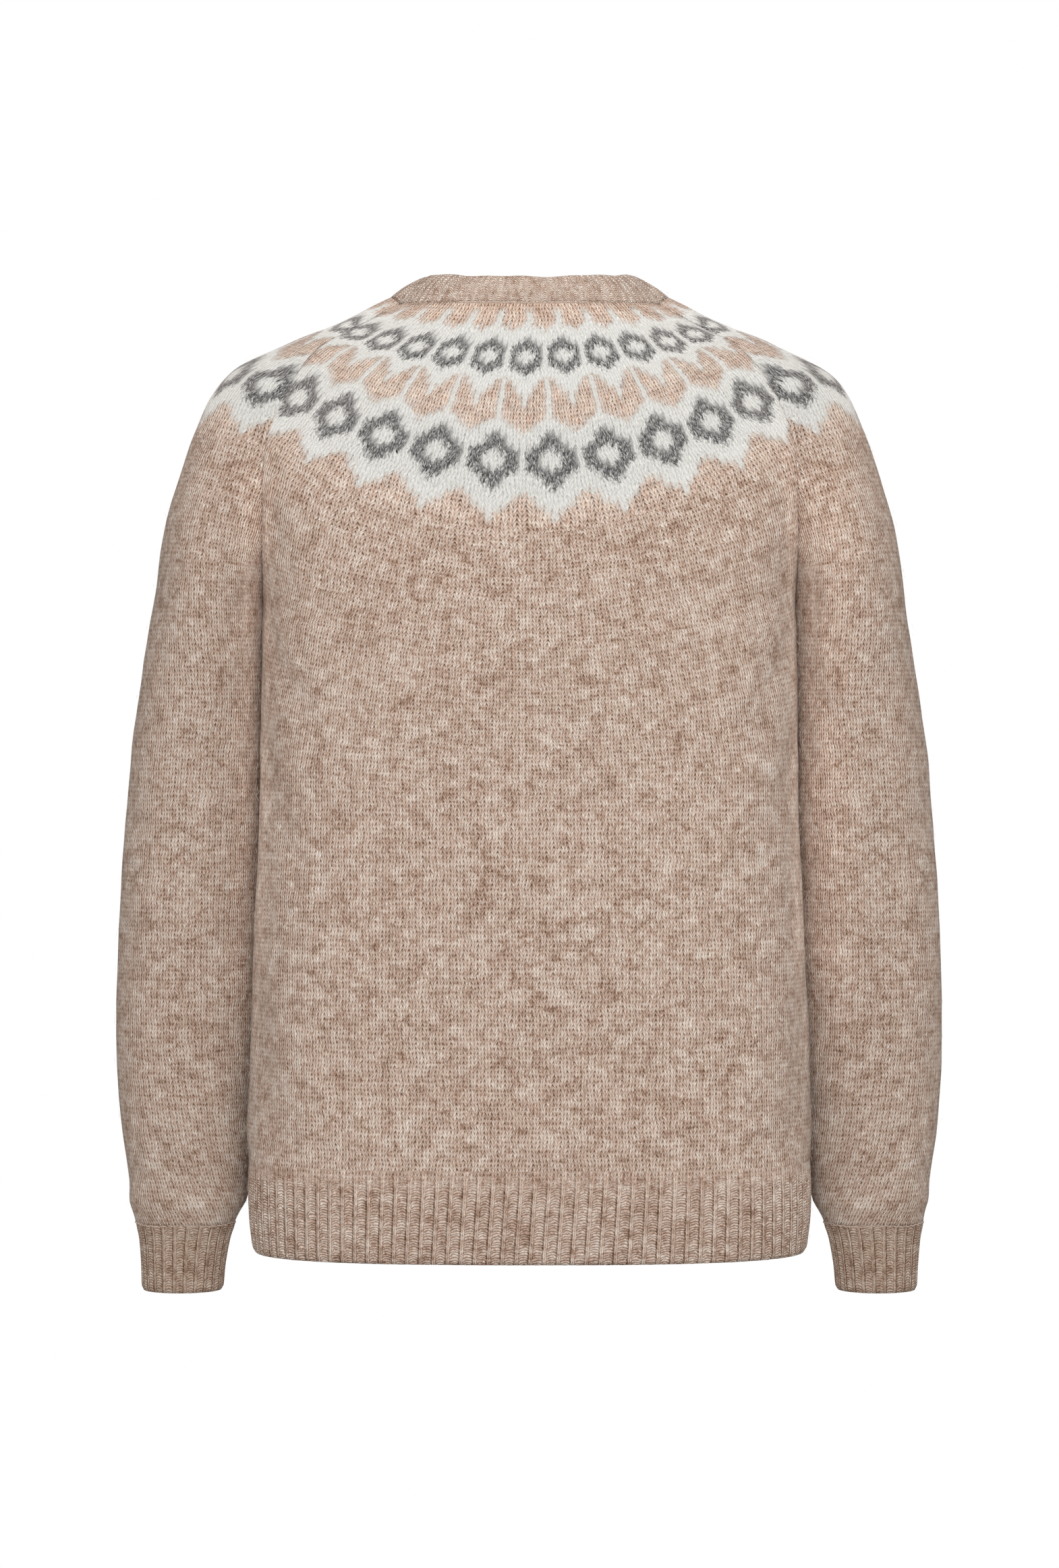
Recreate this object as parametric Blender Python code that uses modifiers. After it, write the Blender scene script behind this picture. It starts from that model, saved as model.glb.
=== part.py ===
# A knitted cardigan as it is worn: buttoned, hollow, with the sleeves hanging at the sides.
# The wearer faces -Y and +X is the wearer's left. Sizes are in millimetres until `metres`
# turns them into Blender's units. The origin is the middle of the neck, at shoulder height.

import math
from collections import namedtuple

import bmesh
import bpy
import numpy as np
from mathutils import Matrix, Vector

WALL = 3.0
SEAM_GAP = 0.3
# How far each edge is cut back from its seam line, to leave the gap between two thick walls.
SEAM_INSET = 0.22
SIDE_INSET = 0.45
NECK_INSET = 0.5
# How far a sleeve stands off the body where the raglan seam ends at the underarm.
SLEEVE_STANDOFF = 0.7
NECKBAND_LEAN = 2.0
BAND_WIDTH = 30.0
BAND_LAP = WALL + 0.5
LAP_RAMP = 26.0
BUTTON_COUNT = 8
BUTTON_FROM_TOP = 10.5
BUTTON_FROM_HEM = 20.0
# A button's turned profile, as reach and height: the dished face, the rim and the flat back.
BUTTON_PROFILE = [(0.0, 2.5), (5.4, 2.8), (6.6, 3.8), (8.2, 4.0), (9.0, 1.7), (6.8, 0.0)]
HOLE_DIAMETER = 1.9
HOLE_SPACING = 4.4
HOLE_DEPTH = 20.0
HOLE_SIDES = 8
SHANK_DIAMETER = 2.2
BUTTON_SIDES = 16
BUTTONHOLE_LENGTH = 19.0
BUTTONHOLE_HEIGHT = 4.0

BACK_STRIPS = 20
FRONT_STRIPS = 9
SLEEVE_STRIPS = 18
NECKBAND_STRIPS = 30
YOKE_STEPS = 12

# The seven rows of the yoke run round the wearer at one depth below the neck each, so every
# piece has the same rows: the sleeve's top line, and the two raglan seams below it. `turn`
# is how far round the sleeve's section a seam lies from the top line, in degrees, and
# `depth` is how far that half of the section reaches from the arm's middle.
Section = namedtuple(
    "Section",
    "top_x top_z middle_y back_x back_z back_turn back_depth front_x front_z front_turn front_depth",
)
CAP = [
    #        top_x  top_z  mid   back_x  back_z  turn depth  front_x front_z turn depth
    Section(90.5, 2.2, 0.0, 84.0, -4.0, 35, 35.0, 80.0, -9.0, 42, 39.0),  # neck seam
    Section(124.0, -15.0, 0.0, 116.0, -23.6, 45, 42.0, 112.0, -30.0, 60, 44.0),  # small diamonds
    Section(157.5, -28.0, 0.0, 136.8, -36.5, 65, 38.6, 132.0, -47.0, 80, 46.7),  # hearts
    Section(196.5, -49.5, 0.0, 156.0, -64.5, 98, 42.6, 151.0, -76.0, 102, 54.2),  # large diamonds
    Section(218.0, -86.0, 0.0, 169.0, -98.0, 112, 50.0, 165.0, -110.0, 115, 60.7),  # yoke end
    Section(235.0, -139.0, -2.0, 172.5, -148.0, 140, 58.0, 171.5, -155.0, 140, 64.0),  # armhole
    Section(246.8, -205.0, -6.0, 174.2, -205.0, 180, 60.0, 174.2, -205.0, 180, 63.0),  # underarm
]
Ring = namedtuple("Ring", "z outer_x inner_x middle_y depth")
ARM = [
    Ring(-280.0, 259.2, 175.2, -20.0, 58.0),
    Ring(-350.0, 266.4, 176.6, -31.0, 56.0),
    Ring(-420.0, 271.0, 179.2, -38.0, 53.5),
    Ring(-490.0, 272.6, 180.8, -42.0, 51.0),
    Ring(-545.0, 269.4, 181.4, -44.0, 47.5),
    Ring(-582.0, 264.2, 186.4, -45.0, 41.0),
    Ring(-605.0, 260.6, 195.0, -45.5, 33.0),  # cuff seam
]
CUFF = [
    Ring(-605.35, 260.4, 195.2, -45.5, 32.8),
    Ring(-615.0, 258.6, 198.6, -45.8, 30.0),
    Ring(-632.0, 257.2, 201.6, -46.4, 28.4),
    Ring(-649.5, 256.4, 203.2, -47.0, 28.0),
]

# The middle lines of the back and the front: the yoke's rows first, then the body's. The
# lower the power, the squarer the section.
Middle = namedtuple("Middle", "back_y back_z back_turn front_y front_z front_turn power")
TORSO = [
    Middle(58.0, -7.0, 71, -72.0, -68.0, 66, 0.95),  # neck seam
    Middle(78.0, -45.0, 62, -87.0, -103.0, 60, 0.92),  # small diamonds
    Middle(95.0, -78.6, 58, -100.0, -137.0, 58, 0.90),  # hearts
    Middle(107.0, -113.5, 60, -112.0, -172.0, 60, 0.88),  # large diamonds
    Middle(115.0, -154.0, 66, -122.0, -212.0, 66, 0.86),  # yoke end
    Middle(119.0, -188.0, 78, -127.0, -240.0, 76, 0.83),  # armhole
    Middle(120.5, -222.0, 90, -129.5, -268.0, 90, 0.80),  # underarm
    Middle(119.5, -330.0, 90, -127.0, -330.0, 90, 0.77),  # level
    Middle(117.5, -450.0, 90, -122.0, -450.0, 90, 0.74),  # waist
    Middle(116.5, -558.0, 90, -120.0, -558.0, 90, 0.72),  # top of the rib
    Middle(115.5, -592.0, 90, -118.5, -592.0, 90, 0.72),  # middle of the rib
    Middle(112.0, -617.5, 90, -115.0, -617.5, 90, 0.72),  # hem
]
Side = namedtuple("Side", "x z")
SIDES = [
    Side(173.5, -205.0),  # underarm
    Side(175.4, -330.0),  # level
    Side(181.2, -450.0),  # waist
    Side(182.4, -558.0),  # top of the rib
    Side(182.0, -592.0),  # middle of the rib
    Side(179.4, -617.5),  # hem
]
YOKE_END = 4
UNDERARM = len(CAP) - 1
HEM = len(TORSO) - 1
BODY_STEPS = [0.3, 0.6, 1.0, 1.35, 1.7, 2.0, 2.5, 3.0, 3.5, 4.0, 4.5, 5.0]
ARM_STEPS = [0.5, 1.0, 1.5, 2.0, 2.5, 3.0, 3.5, 4.0, 4.5, 5.0, 5.5, 6.0, 6.5, 7.0]

# The neckband's upper edge: an ellipse that is higher at the sides than at the back.
NECK_TOP_X = 69.0
NECK_TOP_BACK = 52.0
NECK_TOP_FRONT = 62.0
NECK_TOP_Z = {"back": 10.5, "side": 15.5, "front": -50.0}

COLOURS = {
    "body": (0.47, 0.36, 0.29),
    "rib": (0.40, 0.30, 0.23),
    "button": (0.16, 0.09, 0.05),
}


def clearScene():
    for item in list(bpy.data.objects):
        bpy.data.objects.remove(item, do_unlink=True)
    for name in ("cardigan", "cutters"):
        collection = bpy.data.collections.new(name)
        bpy.context.scene.collection.children.link(collection)


def metres(point):
    return Vector(float(value) * 0.001 for value in point)


def blend(table, row):
    """The table's values at a fractional row number, on a smooth curve through its rows."""
    values = np.array(table, float)
    slopes = np.gradient(values, axis=0)
    first = min(int(row), len(values) - 2)
    f = row - first
    mixed = (
        values[first] * (2 * f**3 - 3 * f**2 + 1)
        + slopes[first] * (f**3 - 2 * f**2 + f)
        + values[first + 1] * (3 * f**2 - 2 * f**3)
        + slopes[first + 1] * (f**3 - f**2)
    )
    return type(table[0])(*mixed)


def lengthsAlong(points):
    return np.concatenate([[0.0], np.cumsum(np.linalg.norm(np.diff(points, axis=0), axis=1))])


def evenly(points, count, start=0.0, end=0.0):
    """The line through `points` as `count` equal strips, cut short by start and end."""
    lengths = lengthsAlong(points)
    wanted = np.linspace(start, lengths[-1] - end, count + 1)
    return np.stack([np.interp(wanted, lengths, points[:, i]) for i in range(3)], axis=1)


def sleeveTable():
    closed = [
        Section(ring.outer_x, ring.z, ring.middle_y, *(ring.inner_x, ring.z, 180, ring.depth) * 2)
        for ring in ARM
    ]
    return CAP + closed


def sleeveHalf(section, face, points=120):
    """The line from the sleeve's top to its seam, on the back (+1) or the front (-1)."""
    side = "back" if face > 0 else "front"
    x, z, turn, depth = (getattr(section, f"{side}_{value}") for value in ("x", "z", "turn", "depth"))
    angle = math.radians(turn) * np.linspace(0, 1, points)
    fall = (1 - np.cos(angle)) / (1 - math.cos(math.radians(turn)))
    return np.stack(
        [
            section.top_x + (x - section.top_x) * fall,
            section.middle_y + face * depth * np.sin(angle),
            section.top_z + (z - section.top_z) * fall,
        ],
        axis=1,
    )


def panelEdge(row, face):
    """Where a body panel ends at this row: on its raglan seam, or on the side seam."""
    if row <= UNDERARM:
        edge = sleeveHalf(blend(CAP, row), face)[-1]
        below_yoke = max(0.0, (row - YOKE_END) / (UNDERARM - YOKE_END))
        edge[0] -= SLEEVE_STANDOFF * below_yoke
        return edge
    side = blend(SIDES, row - UNDERARM)
    return np.array([side.x, 0.0, side.z])


def torsoHalf(row, face, points=160):
    """The line of a body panel from its middle to its edge, on the wearer's left."""
    middle = blend(TORSO, row)
    side = "back" if face > 0 else "front"
    y, z, turn = (getattr(middle, f"{side}_{value}") for value in ("y", "z", "turn"))
    edge = panelEdge(row, face)
    angle = math.radians(turn) * np.linspace(0, 1, points)
    across = (np.sin(angle) / math.sin(math.radians(turn))) ** middle.power
    cosine = np.clip(np.cos(angle), 0, 1) ** middle.power
    deep = (1 - cosine) / (1 - cosine[-1])
    return np.stack([edge[0] * across, y + (edge[1] - y) * deep, z + (edge[2] - z) * across**2], axis=1)


def frontPoint(x, row):
    """A point near the centre front. Rows from -1 to 0 lie on the neckband, the rest below it."""
    half = torsoHalf(max(row, 0.0), -1)
    point = np.array([np.interp(abs(x), half[:, 0], half[:, i]) for i in range(3)])
    if row < 0:
        point = neckbandPoint(point, -row)
    point[0] = x
    return point


def frontOutward(row):
    """The direction that points straight out of the centre front at this row."""
    down = frontPoint(0.0, min(row + 0.05, HEM)) - frontPoint(0.0, max(row - 0.05, -1.0))
    out = np.array([0.0, down[2], -down[1]])
    return out / np.linalg.norm(out)


def lapped(point, row):
    """A point of the wearer's right front, raised where it runs up to the upper band."""
    if point[0] > 0 or point[1] > 0:
        return point
    near = np.clip(1 - (-point[0] - BAND_WIDTH / 2) / LAP_RAMP, 0, 1)
    return point + frontOutward(row) * BAND_LAP * near * near * (3 - 2 * near)


def seamInset(row):
    return SEAM_INSET if row < UNDERARM else SIDE_INSET


def torsoRows():
    yoke = np.linspace(0, UNDERARM, YOKE_STEPS + 1)
    return list(yoke) + [UNDERARM + step for step in BODY_STEPS]


def backGrid():
    rows = []
    for row in torsoRows():
        half = evenly(torsoHalf(row, 1), BACK_STRIPS // 2, end=seamInset(row))
        mirrored = half[:0:-1] * (-1, 1, 1)
        rows.append(np.concatenate([mirrored, half]))
    return loweredTop(rows)


def frontGrid(side):
    rows = []
    for row in torsoRows():
        half = torsoHalf(row, -1)
        cut = lengthsAlong(half)[np.searchsorted(half[:, 0], BAND_WIDTH / 2)] + SEAM_GAP
        line = evenly(half, FRONT_STRIPS, start=cut, end=seamInset(row)) * (side, 1, 1)
        rows.append(np.array([lapped(point, row) for point in line]))
    return loweredTop(rows)


def sleeveGrid(side):
    table = sleeveTable()
    rows = []
    for row in list(np.linspace(0, UNDERARM, YOKE_STEPS + 1)) + [UNDERARM + step for step in ARM_STEPS]:
        section = blend(table, row)
        gap = SEAM_INSET if row < UNDERARM else 0.0
        back = evenly(sleeveHalf(section, 1), SLEEVE_STRIPS // 2, end=gap)
        front = evenly(sleeveHalf(section, -1), SLEEVE_STRIPS // 2, end=gap)
        rows.append(np.concatenate([back[:0:-1], front]) * (side, 1, 1))
    return loweredTop(rows)


def loweredTop(rows):
    """The rows as a grid whose first one stands off the neck seam."""
    grid = np.array(rows)
    down = grid[1] - grid[0]
    grid[0] += down / np.linalg.norm(down, axis=1, keepdims=True) * NECK_INSET
    return grid


def cuffGrid(side):
    rows = []
    for ring in CUFF:
        angle = np.linspace(0, 2 * math.pi, SLEEVE_STRIPS + 1)
        middle = (ring.outer_x + ring.inner_x) / 2
        reach = (ring.outer_x - ring.inner_x) / 2
        x = side * (middle - reach * np.cos(angle))
        y = ring.middle_y + ring.depth * np.sin(angle)
        rows.append(np.stack([x, y, np.full_like(x, ring.z)], axis=1))
    return np.array(rows)


def neckSeamHalf():
    """The neck seam from the centre back over the wearer's left shoulder to the centre front."""
    cap = CAP[0]
    over = np.concatenate([sleeveHalf(cap, 1)[::-1], sleeveHalf(cap, -1)[1:]])
    return np.concatenate([torsoHalf(0, 1), over[1:], torsoHalf(0, -1)[::-1][1:]])


def neckTop(point):
    """The point of the neckband's upper edge that lies above this point of the neck seam."""
    angle = math.atan2(point[0] / NECK_TOP_X, point[1] / (NECK_TOP_BACK if point[1] > 0 else NECK_TOP_FRONT))
    reach = NECK_TOP_BACK if math.cos(angle) > 0 else NECK_TOP_FRONT
    end = NECK_TOP_Z["back"] if math.cos(angle) > 0 else NECK_TOP_Z["front"]
    z = NECK_TOP_Z["side"] + (end - NECK_TOP_Z["side"]) * math.cos(angle) ** 2
    return np.array([NECK_TOP_X * math.sin(angle), reach * math.cos(angle), z])


def neckbandPoint(seam, height):
    """A point of the neckband, at a height of 0 on the neck seam and 1 on its upper edge."""
    seam = np.array(seam)
    top = neckTop(seam)
    bulge = NECKBAND_LEAN * math.sin(math.pi * height)
    outward = seam * (1, 1, 0) / np.linalg.norm(seam[:2])
    return seam + (top - seam) * height + outward * bulge


def neckbandGrid():
    half = neckSeamHalf()
    clear = BAND_WIDTH / 2 + SEAM_GAP
    last = np.nonzero(half[:, 0] > clear)[0][-1]
    left = evenly(half[: last + 1], NECKBAND_STRIPS // 2)
    ring = np.concatenate([left[:0:-1] * (-1, 1, 1), left])
    rows = []
    for height in (1.0, 0.5, 0.0):
        row = np.array([neckbandPoint(point, height) for point in ring])
        row[[0, -1], 0] = (-clear, clear)
        rows.append(np.array([lapped(point, -height) for point in row]))
    return np.array(rows)


def bandPoint(x, row, raised):
    return frontPoint(x, row) + frontOutward(row) * raised


def bandProfile():
    """Fine rows down the band with the length run from its top, to place the buttons by."""
    rows = np.concatenate([np.linspace(-1, 0, 12), np.linspace(0, HEM, 300)[1:]])
    points = np.array([bandPoint(0.0, row, 0.0) for row in rows])
    return rows, lengthsAlong(points)


def buttonRows():
    rows, lengths = bandProfile()
    places = np.linspace(BUTTON_FROM_TOP, lengths[-1] - BUTTON_FROM_HEM, BUTTON_COUNT)
    return [(float(np.interp(place, lengths, rows)), place) for place in places]


def bandGrid(raised, holes):
    """The band's rows, and the cells left open for buttonholes."""
    rows, lengths = bandProfile()
    marks = [0.0, lengths[-1]]
    between = []
    places = [place for _, place in buttonRows()]
    marks.append(float(np.interp(0.0, rows, lengths)))
    for place in places:
        marks += [place - BUTTONHOLE_HEIGHT / 2, place + BUTTONHOLE_HEIGHT / 2]
    for first, second in zip(places, places[1:]):
        between += [first + (second - first) * share for share in (0.25, 0.5, 0.75)]
    marks = sorted(marks + between)
    half = BAND_WIDTH / 2 - SEAM_GAP
    columns = [-half, -BUTTONHOLE_LENGTH / 2, BUTTONHOLE_LENGTH / 2, half]
    grid = np.array(
        [[bandPoint(x, float(np.interp(mark, lengths, rows)), raised) for x in columns] for mark in marks]
    )
    open_cells = set()
    if holes:
        for place in places:
            open_cells.add((marks.index(place - BUTTONHOLE_HEIGHT / 2), 1))
    return grid, open_cells


def material(name, colour, roughness=0.95):
    made = bpy.data.materials.new(name)
    made.use_nodes = True
    shader = made.node_tree.nodes["Principled BSDF"]
    shader.inputs["Base Color"].default_value = (*colour, 1)
    shader.inputs["Roughness"].default_value = roughness
    shader.inputs["Metallic"].default_value = 0
    return made


def clothPiece(name, grid, colour, open_cells=(), closed_from=None, flip=False):
    """A wall of cloth whose outer face is the grid. From `closed_from` on, its rows are rings."""
    mesh = bpy.data.meshes.new(name)
    cloth = bmesh.new()
    columns = len(grid[0])
    corners = []
    for number, row in enumerate(grid):
        line = [cloth.verts.new(metres(point)) for point in row[: columns - 1]]
        ring = closed_from is not None and number >= closed_from
        line.append(line[0] if ring else cloth.verts.new(metres(row[-1])))
        corners.append(line)
    for i in range(len(grid) - 1):
        for j in range(columns - 1):
            if (i, j) in open_cells:
                continue
            around = [corners[i][j], corners[i + 1][j], corners[i + 1][j + 1], corners[i][j + 1]]
            cloth.faces.new(around[::-1] if flip else around)
    cloth.to_mesh(mesh)
    cloth.free()
    piece = bpy.data.objects.new(name, mesh)
    bpy.data.collections["cardigan"].objects.link(piece)
    mesh.materials.append(material(name, COLOURS[colour]))
    mesh.shade_smooth()
    shell = piece.modifiers.new("wall", "SOLIDIFY")
    shell.thickness = WALL * 0.001
    shell.offset = -1
    return piece


def buttonCutter():
    """Four straight holes through the button, as one cutter."""
    cutter = bmesh.new()
    for x in (-1, 1):
        for y in (-1, 1):
            place = Matrix.Translation(metres((x * HOLE_SPACING / 2, y * HOLE_SPACING / 2, 0)))
            bmesh.ops.create_cone(
                cutter,
                cap_ends=True,
                segments=HOLE_SIDES,
                radius1=HOLE_DIAMETER * 0.0005,
                radius2=HOLE_DIAMETER * 0.0005,
                depth=HOLE_DEPTH * 0.001,
                matrix=place,
            )
    mesh = bpy.data.meshes.new("button holes")
    cutter.to_mesh(mesh)
    cutter.free()
    return mesh


def buttonProfile():
    """Half of the button's outline, down its outer side to the end of the thread shank."""
    shank = SHANK_DIAMETER / 2
    stem = BAND_LAP - SEAM_GAP
    outline = BUTTON_PROFILE + [(shank, 0.0), (shank, -stem), (0.0, -stem)]
    mesh = bpy.data.meshes.new("button")
    points = [metres((reach, 0, height)) for reach, height in outline]
    edges = [(i, i + 1) for i in range(len(outline) - 1)]
    mesh.from_pydata(points, edges, [])
    mesh.materials.append(material("button", COLOURS["button"], 0.35))
    return mesh


def addButton(name, profile, cutter, place):
    """A button turned by a Screw modifier, with its holes cut by a cutter that follows it."""
    button = bpy.data.objects.new(name, profile)
    bpy.data.collections["cardigan"].objects.link(button)
    button.matrix_world = place
    turned = button.modifiers.new("turned", "SCREW")
    turned.steps = BUTTON_SIDES
    turned.render_steps = BUTTON_SIDES
    turned.use_merge_vertices = True
    turned.merge_threshold = 0.00001
    holes = bpy.data.objects.new(f"{name} holes", cutter)
    holes.hide_render = True
    holes.display_type = "WIRE"
    holes.parent = button
    bpy.data.collections["cutters"].objects.link(holes)
    cut = button.modifiers.new("holes", "BOOLEAN")
    cut.operation = "DIFFERENCE"
    cut.object = holes


def buttonSeat(row):
    """The middle of the flat stretch of band between the two ends of a buttonhole."""
    ends = [bandPoint(x, row, BAND_LAP + SEAM_GAP) for x in (-BUTTONHOLE_LENGTH / 2, BUTTONHOLE_LENGTH / 2)]
    return metres(sum(ends) / 2)


def addButtons():
    """The buttons lie on the upper band. Each shank goes through its buttonhole to the lower one."""
    profile = buttonProfile()
    cutter = buttonCutter()
    for number, (row, _) in enumerate(buttonRows(), 1):
        across = Vector((1, 0, 0))
        out = Vector(frontOutward(row))
        turn = Matrix((across, out.cross(across), out)).transposed().to_4x4()
        addButton(f"button_{number}", profile, cutter, Matrix.Translation(buttonSeat(row)) @ turn)


def build():
    clearScene()
    clothPiece("back", backGrid(), "body", flip=True)
    clothPiece("left_front", frontGrid(1), "body")
    clothPiece("right_front", frontGrid(-1), "body", flip=True)
    clothPiece("left_sleeve", sleeveGrid(1), "body", closed_from=YOKE_STEPS, flip=True)
    clothPiece("right_sleeve", sleeveGrid(-1), "body", closed_from=YOKE_STEPS)
    clothPiece("left_cuff", cuffGrid(1), "rib", closed_from=0, flip=True)
    clothPiece("right_cuff", cuffGrid(-1), "rib", closed_from=0)
    clothPiece("neckband", neckbandGrid(), "rib", flip=True)
    lower, _ = bandGrid(0.0, False)
    clothPiece("button_band", lower, "rib")
    upper, open_cells = bandGrid(BAND_LAP, True)
    clothPiece("buttonhole_band", upper, "rib", open_cells)
    addButtons()


build()
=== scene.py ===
import math
from collections import namedtuple
from functools import partial

import bpy
import numpy as np
from mathutils import Matrix, Vector, noise
from mathutils.kdtree import KDTree


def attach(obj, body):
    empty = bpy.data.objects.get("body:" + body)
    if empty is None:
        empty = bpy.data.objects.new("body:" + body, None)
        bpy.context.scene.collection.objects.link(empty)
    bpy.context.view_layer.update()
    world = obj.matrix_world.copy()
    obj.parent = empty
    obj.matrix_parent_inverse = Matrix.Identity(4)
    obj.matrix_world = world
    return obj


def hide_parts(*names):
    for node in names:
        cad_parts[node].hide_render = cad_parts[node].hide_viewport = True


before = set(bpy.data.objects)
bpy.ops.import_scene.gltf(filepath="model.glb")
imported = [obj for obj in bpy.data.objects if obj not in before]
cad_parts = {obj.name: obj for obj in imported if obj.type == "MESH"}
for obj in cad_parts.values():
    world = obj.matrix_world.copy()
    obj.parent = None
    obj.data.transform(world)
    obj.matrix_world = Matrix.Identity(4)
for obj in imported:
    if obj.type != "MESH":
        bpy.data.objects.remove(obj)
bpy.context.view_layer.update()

# The wearer faces -Y, +X is the wearer's left. Lengths are in millimetres until a mesh is made.
form = {
    "wall": 2.4,
    "bandWidth": 30.0,
    "bandLap": 3.5,  # how far the upper front band stands off the lower one
    "lapRamp": 26.0,
    "neckLean": 2.0,
    "sleeveStandoff": 0.7,
    "course": 2.93,  # height of one stitch: 34 rows to 100 mm
}

Section = namedtuple(
    "Section",
    "topX topZ middleY backX backZ backTurn backDepth frontX frontZ frontTurn frontDepth",
)
capRows = [
    Section(90.5, 2.2, 0.0, 84.0, -4.0, 35, 35.0, 80.0, -9.0, 42, 39.0),  # neck seam
    Section(124.0, -15.0, 0.0, 116.0, -23.6, 45, 42.0, 112.0, -30.0, 60, 44.0),  # small diamonds
    Section(157.5, -28.0, 0.0, 136.8, -36.5, 65, 38.6, 132.0, -47.0, 80, 46.7),  # hearts
    Section(196.5, -49.5, 0.0, 156.0, -64.5, 98, 42.6, 151.0, -76.0, 102, 54.2),  # large diamonds
    Section(218.0, -86.0, 0.0, 169.0, -98.0, 112, 50.0, 165.0, -110.0, 115, 60.7),  # yoke end
    Section(235.0, -139.0, -2.0, 172.5, -148.0, 140, 58.0, 171.5, -155.0, 140, 64.0),  # armhole
    Section(246.8, -205.0, -6.0, 174.2, -205.0, 180, 60.0, 174.2, -205.0, 180, 63.0),  # underarm
]
Ring = namedtuple("Ring", "z outerX innerX middleY depth")
armRings = [
    Ring(-280.0, 259.2, 175.2, -20.0, 58.0),
    Ring(-350.0, 266.4, 176.6, -31.0, 56.0),
    Ring(-420.0, 271.0, 179.2, -38.0, 53.5),
    Ring(-490.0, 272.6, 180.8, -42.0, 51.0),
    Ring(-545.0, 269.4, 181.4, -44.0, 47.5),
    Ring(-582.0, 264.2, 186.4, -45.0, 41.0),
    Ring(-605.0, 260.6, 195.0, -45.5, 33.0),  # cuff seam
]
cuffRings = [
    Ring(-604.6, 260.8, 194.8, -45.5, 33.1),
    Ring(-615.0, 258.6, 198.6, -45.8, 30.0),
    Ring(-632.0, 257.2, 201.6, -46.4, 28.4),
    Ring(-649.5, 256.4, 203.2, -47.0, 28.0),
]
Middle = namedtuple("Middle", "backY backZ backTurn frontY frontZ frontTurn power")
torsoRows = [
    Middle(58.0, -7.0, 71, -72.0, -68.0, 66, 0.95),  # neck seam
    Middle(78.0, -45.0, 62, -87.0, -103.0, 60, 0.92),  # small diamonds
    Middle(95.0, -78.6, 58, -100.0, -137.0, 58, 0.90),  # hearts
    Middle(107.0, -113.5, 60, -112.0, -172.0, 60, 0.88),  # large diamonds
    Middle(115.0, -154.0, 66, -122.0, -212.0, 66, 0.86),  # yoke end
    Middle(119.0, -188.0, 78, -127.0, -240.0, 76, 0.83),  # armhole
    Middle(120.5, -222.0, 90, -129.5, -268.0, 90, 0.80),  # underarm
    Middle(119.5, -330.0, 90, -127.0, -330.0, 90, 0.77),  # level
    Middle(117.5, -450.0, 90, -122.0, -450.0, 90, 0.74),  # waist
    Middle(116.5, -558.0, 90, -120.0, -558.0, 90, 0.72),  # top of the rib
    Middle(115.5, -592.0, 90, -118.5, -592.0, 90, 0.72),  # middle of the rib
    Middle(112.0, -617.5, 90, -115.0, -617.5, 90, 0.72),  # hem
]
Side = namedtuple("Side", "x z")
sideRows = [
    Side(173.5, -205.0),
    Side(175.4, -330.0),
    Side(181.2, -450.0),
    Side(182.4, -558.0),
    Side(182.0, -592.0),
    Side(179.4, -617.5),
]
yokeEnd = 4
underarm = 6
levelRow = 7
ribTop = 9
hemRow = 11
neckTopEdge = {"x": 69.0, "back": 52.0, "front": 62.0, "backZ": 10.5, "sideZ": 15.5, "frontZ": -50.0}


def blendRows(table, row):
    # smooth curve through the table's rows
    values = np.array(table, float)
    slopes = np.gradient(values, axis=0)
    first = min(int(row), len(values) - 2)
    f = row - first
    mixed = (
        values[first] * (2 * f**3 - 3 * f**2 + 1)
        + slopes[first] * (f**3 - 2 * f**2 + f)
        + values[first + 1] * (3 * f**2 - 2 * f**3)
        + slopes[first + 1] * (f**3 - f**2)
    )
    return type(table[0])(*mixed)


def unit(vectors):
    return vectors / np.linalg.norm(vectors, axis=1, keepdims=True)


def bell(away, width):
    return np.exp(-((away / width) ** 2))


def lengthsAlong(points):
    return np.concatenate([[0.0], np.cumsum(np.linalg.norm(np.diff(points, axis=0), axis=1))])


def evenly(points, count, start=0.0):
    # the line in equal steps, with the length run at each
    lengths = lengthsAlong(points)
    wanted = np.linspace(start, lengths[-1], count + 1)
    return np.stack([np.interp(wanted, lengths, points[:, i]) for i in range(3)], axis=1), wanted


def mirrored(half, run):
    # the half line and its lengths, carried on over the middle to the other side
    return np.concatenate([half[:0:-1] * (-1, 1, 1), half]), np.concatenate([-run[:0:-1], run])


def sleeveHalf(section, face, points=160):
    side = "back" if face > 0 else "front"
    x, z, turn, depth = (getattr(section, side + value) for value in ("X", "Z", "Turn", "Depth"))
    angle = math.radians(turn) * np.linspace(0, 1, points)
    fall = (1 - np.cos(angle)) / (1 - math.cos(math.radians(turn)))
    across = section.topX + (x - section.topX) * fall
    deep = section.middleY + face * depth * np.sin(angle)
    return np.stack([across, deep, section.topZ + (z - section.topZ) * fall], axis=1)


def panelEdge(row, face):
    if row <= underarm:
        edge = sleeveHalf(blendRows(capRows, row), face)[-1]
        edge[0] -= form["sleeveStandoff"] * max(0.0, (row - yokeEnd) / (underarm - yokeEnd))
        return edge
    side = blendRows(sideRows, row - underarm)
    return np.array([side.x, 0.0, side.z])


def torsoHalf(row, face, points=220):
    middle = blendRows(torsoRows, row)
    side = "back" if face > 0 else "front"
    y, z, turn = (getattr(middle, side + value) for value in ("Y", "Z", "Turn"))
    edge = panelEdge(row, face)
    angle = math.radians(turn) * np.linspace(0, 1, points)
    across = (np.sin(angle) / math.sin(math.radians(turn))) ** middle.power
    cosine = np.clip(np.cos(angle), 0, 1) ** middle.power
    deep = (1 - cosine) / (1 - cosine[-1])
    return np.stack([edge[0] * across, y + (edge[1] - y) * deep, z + (edge[2] - z) * across**2], axis=1)


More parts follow.
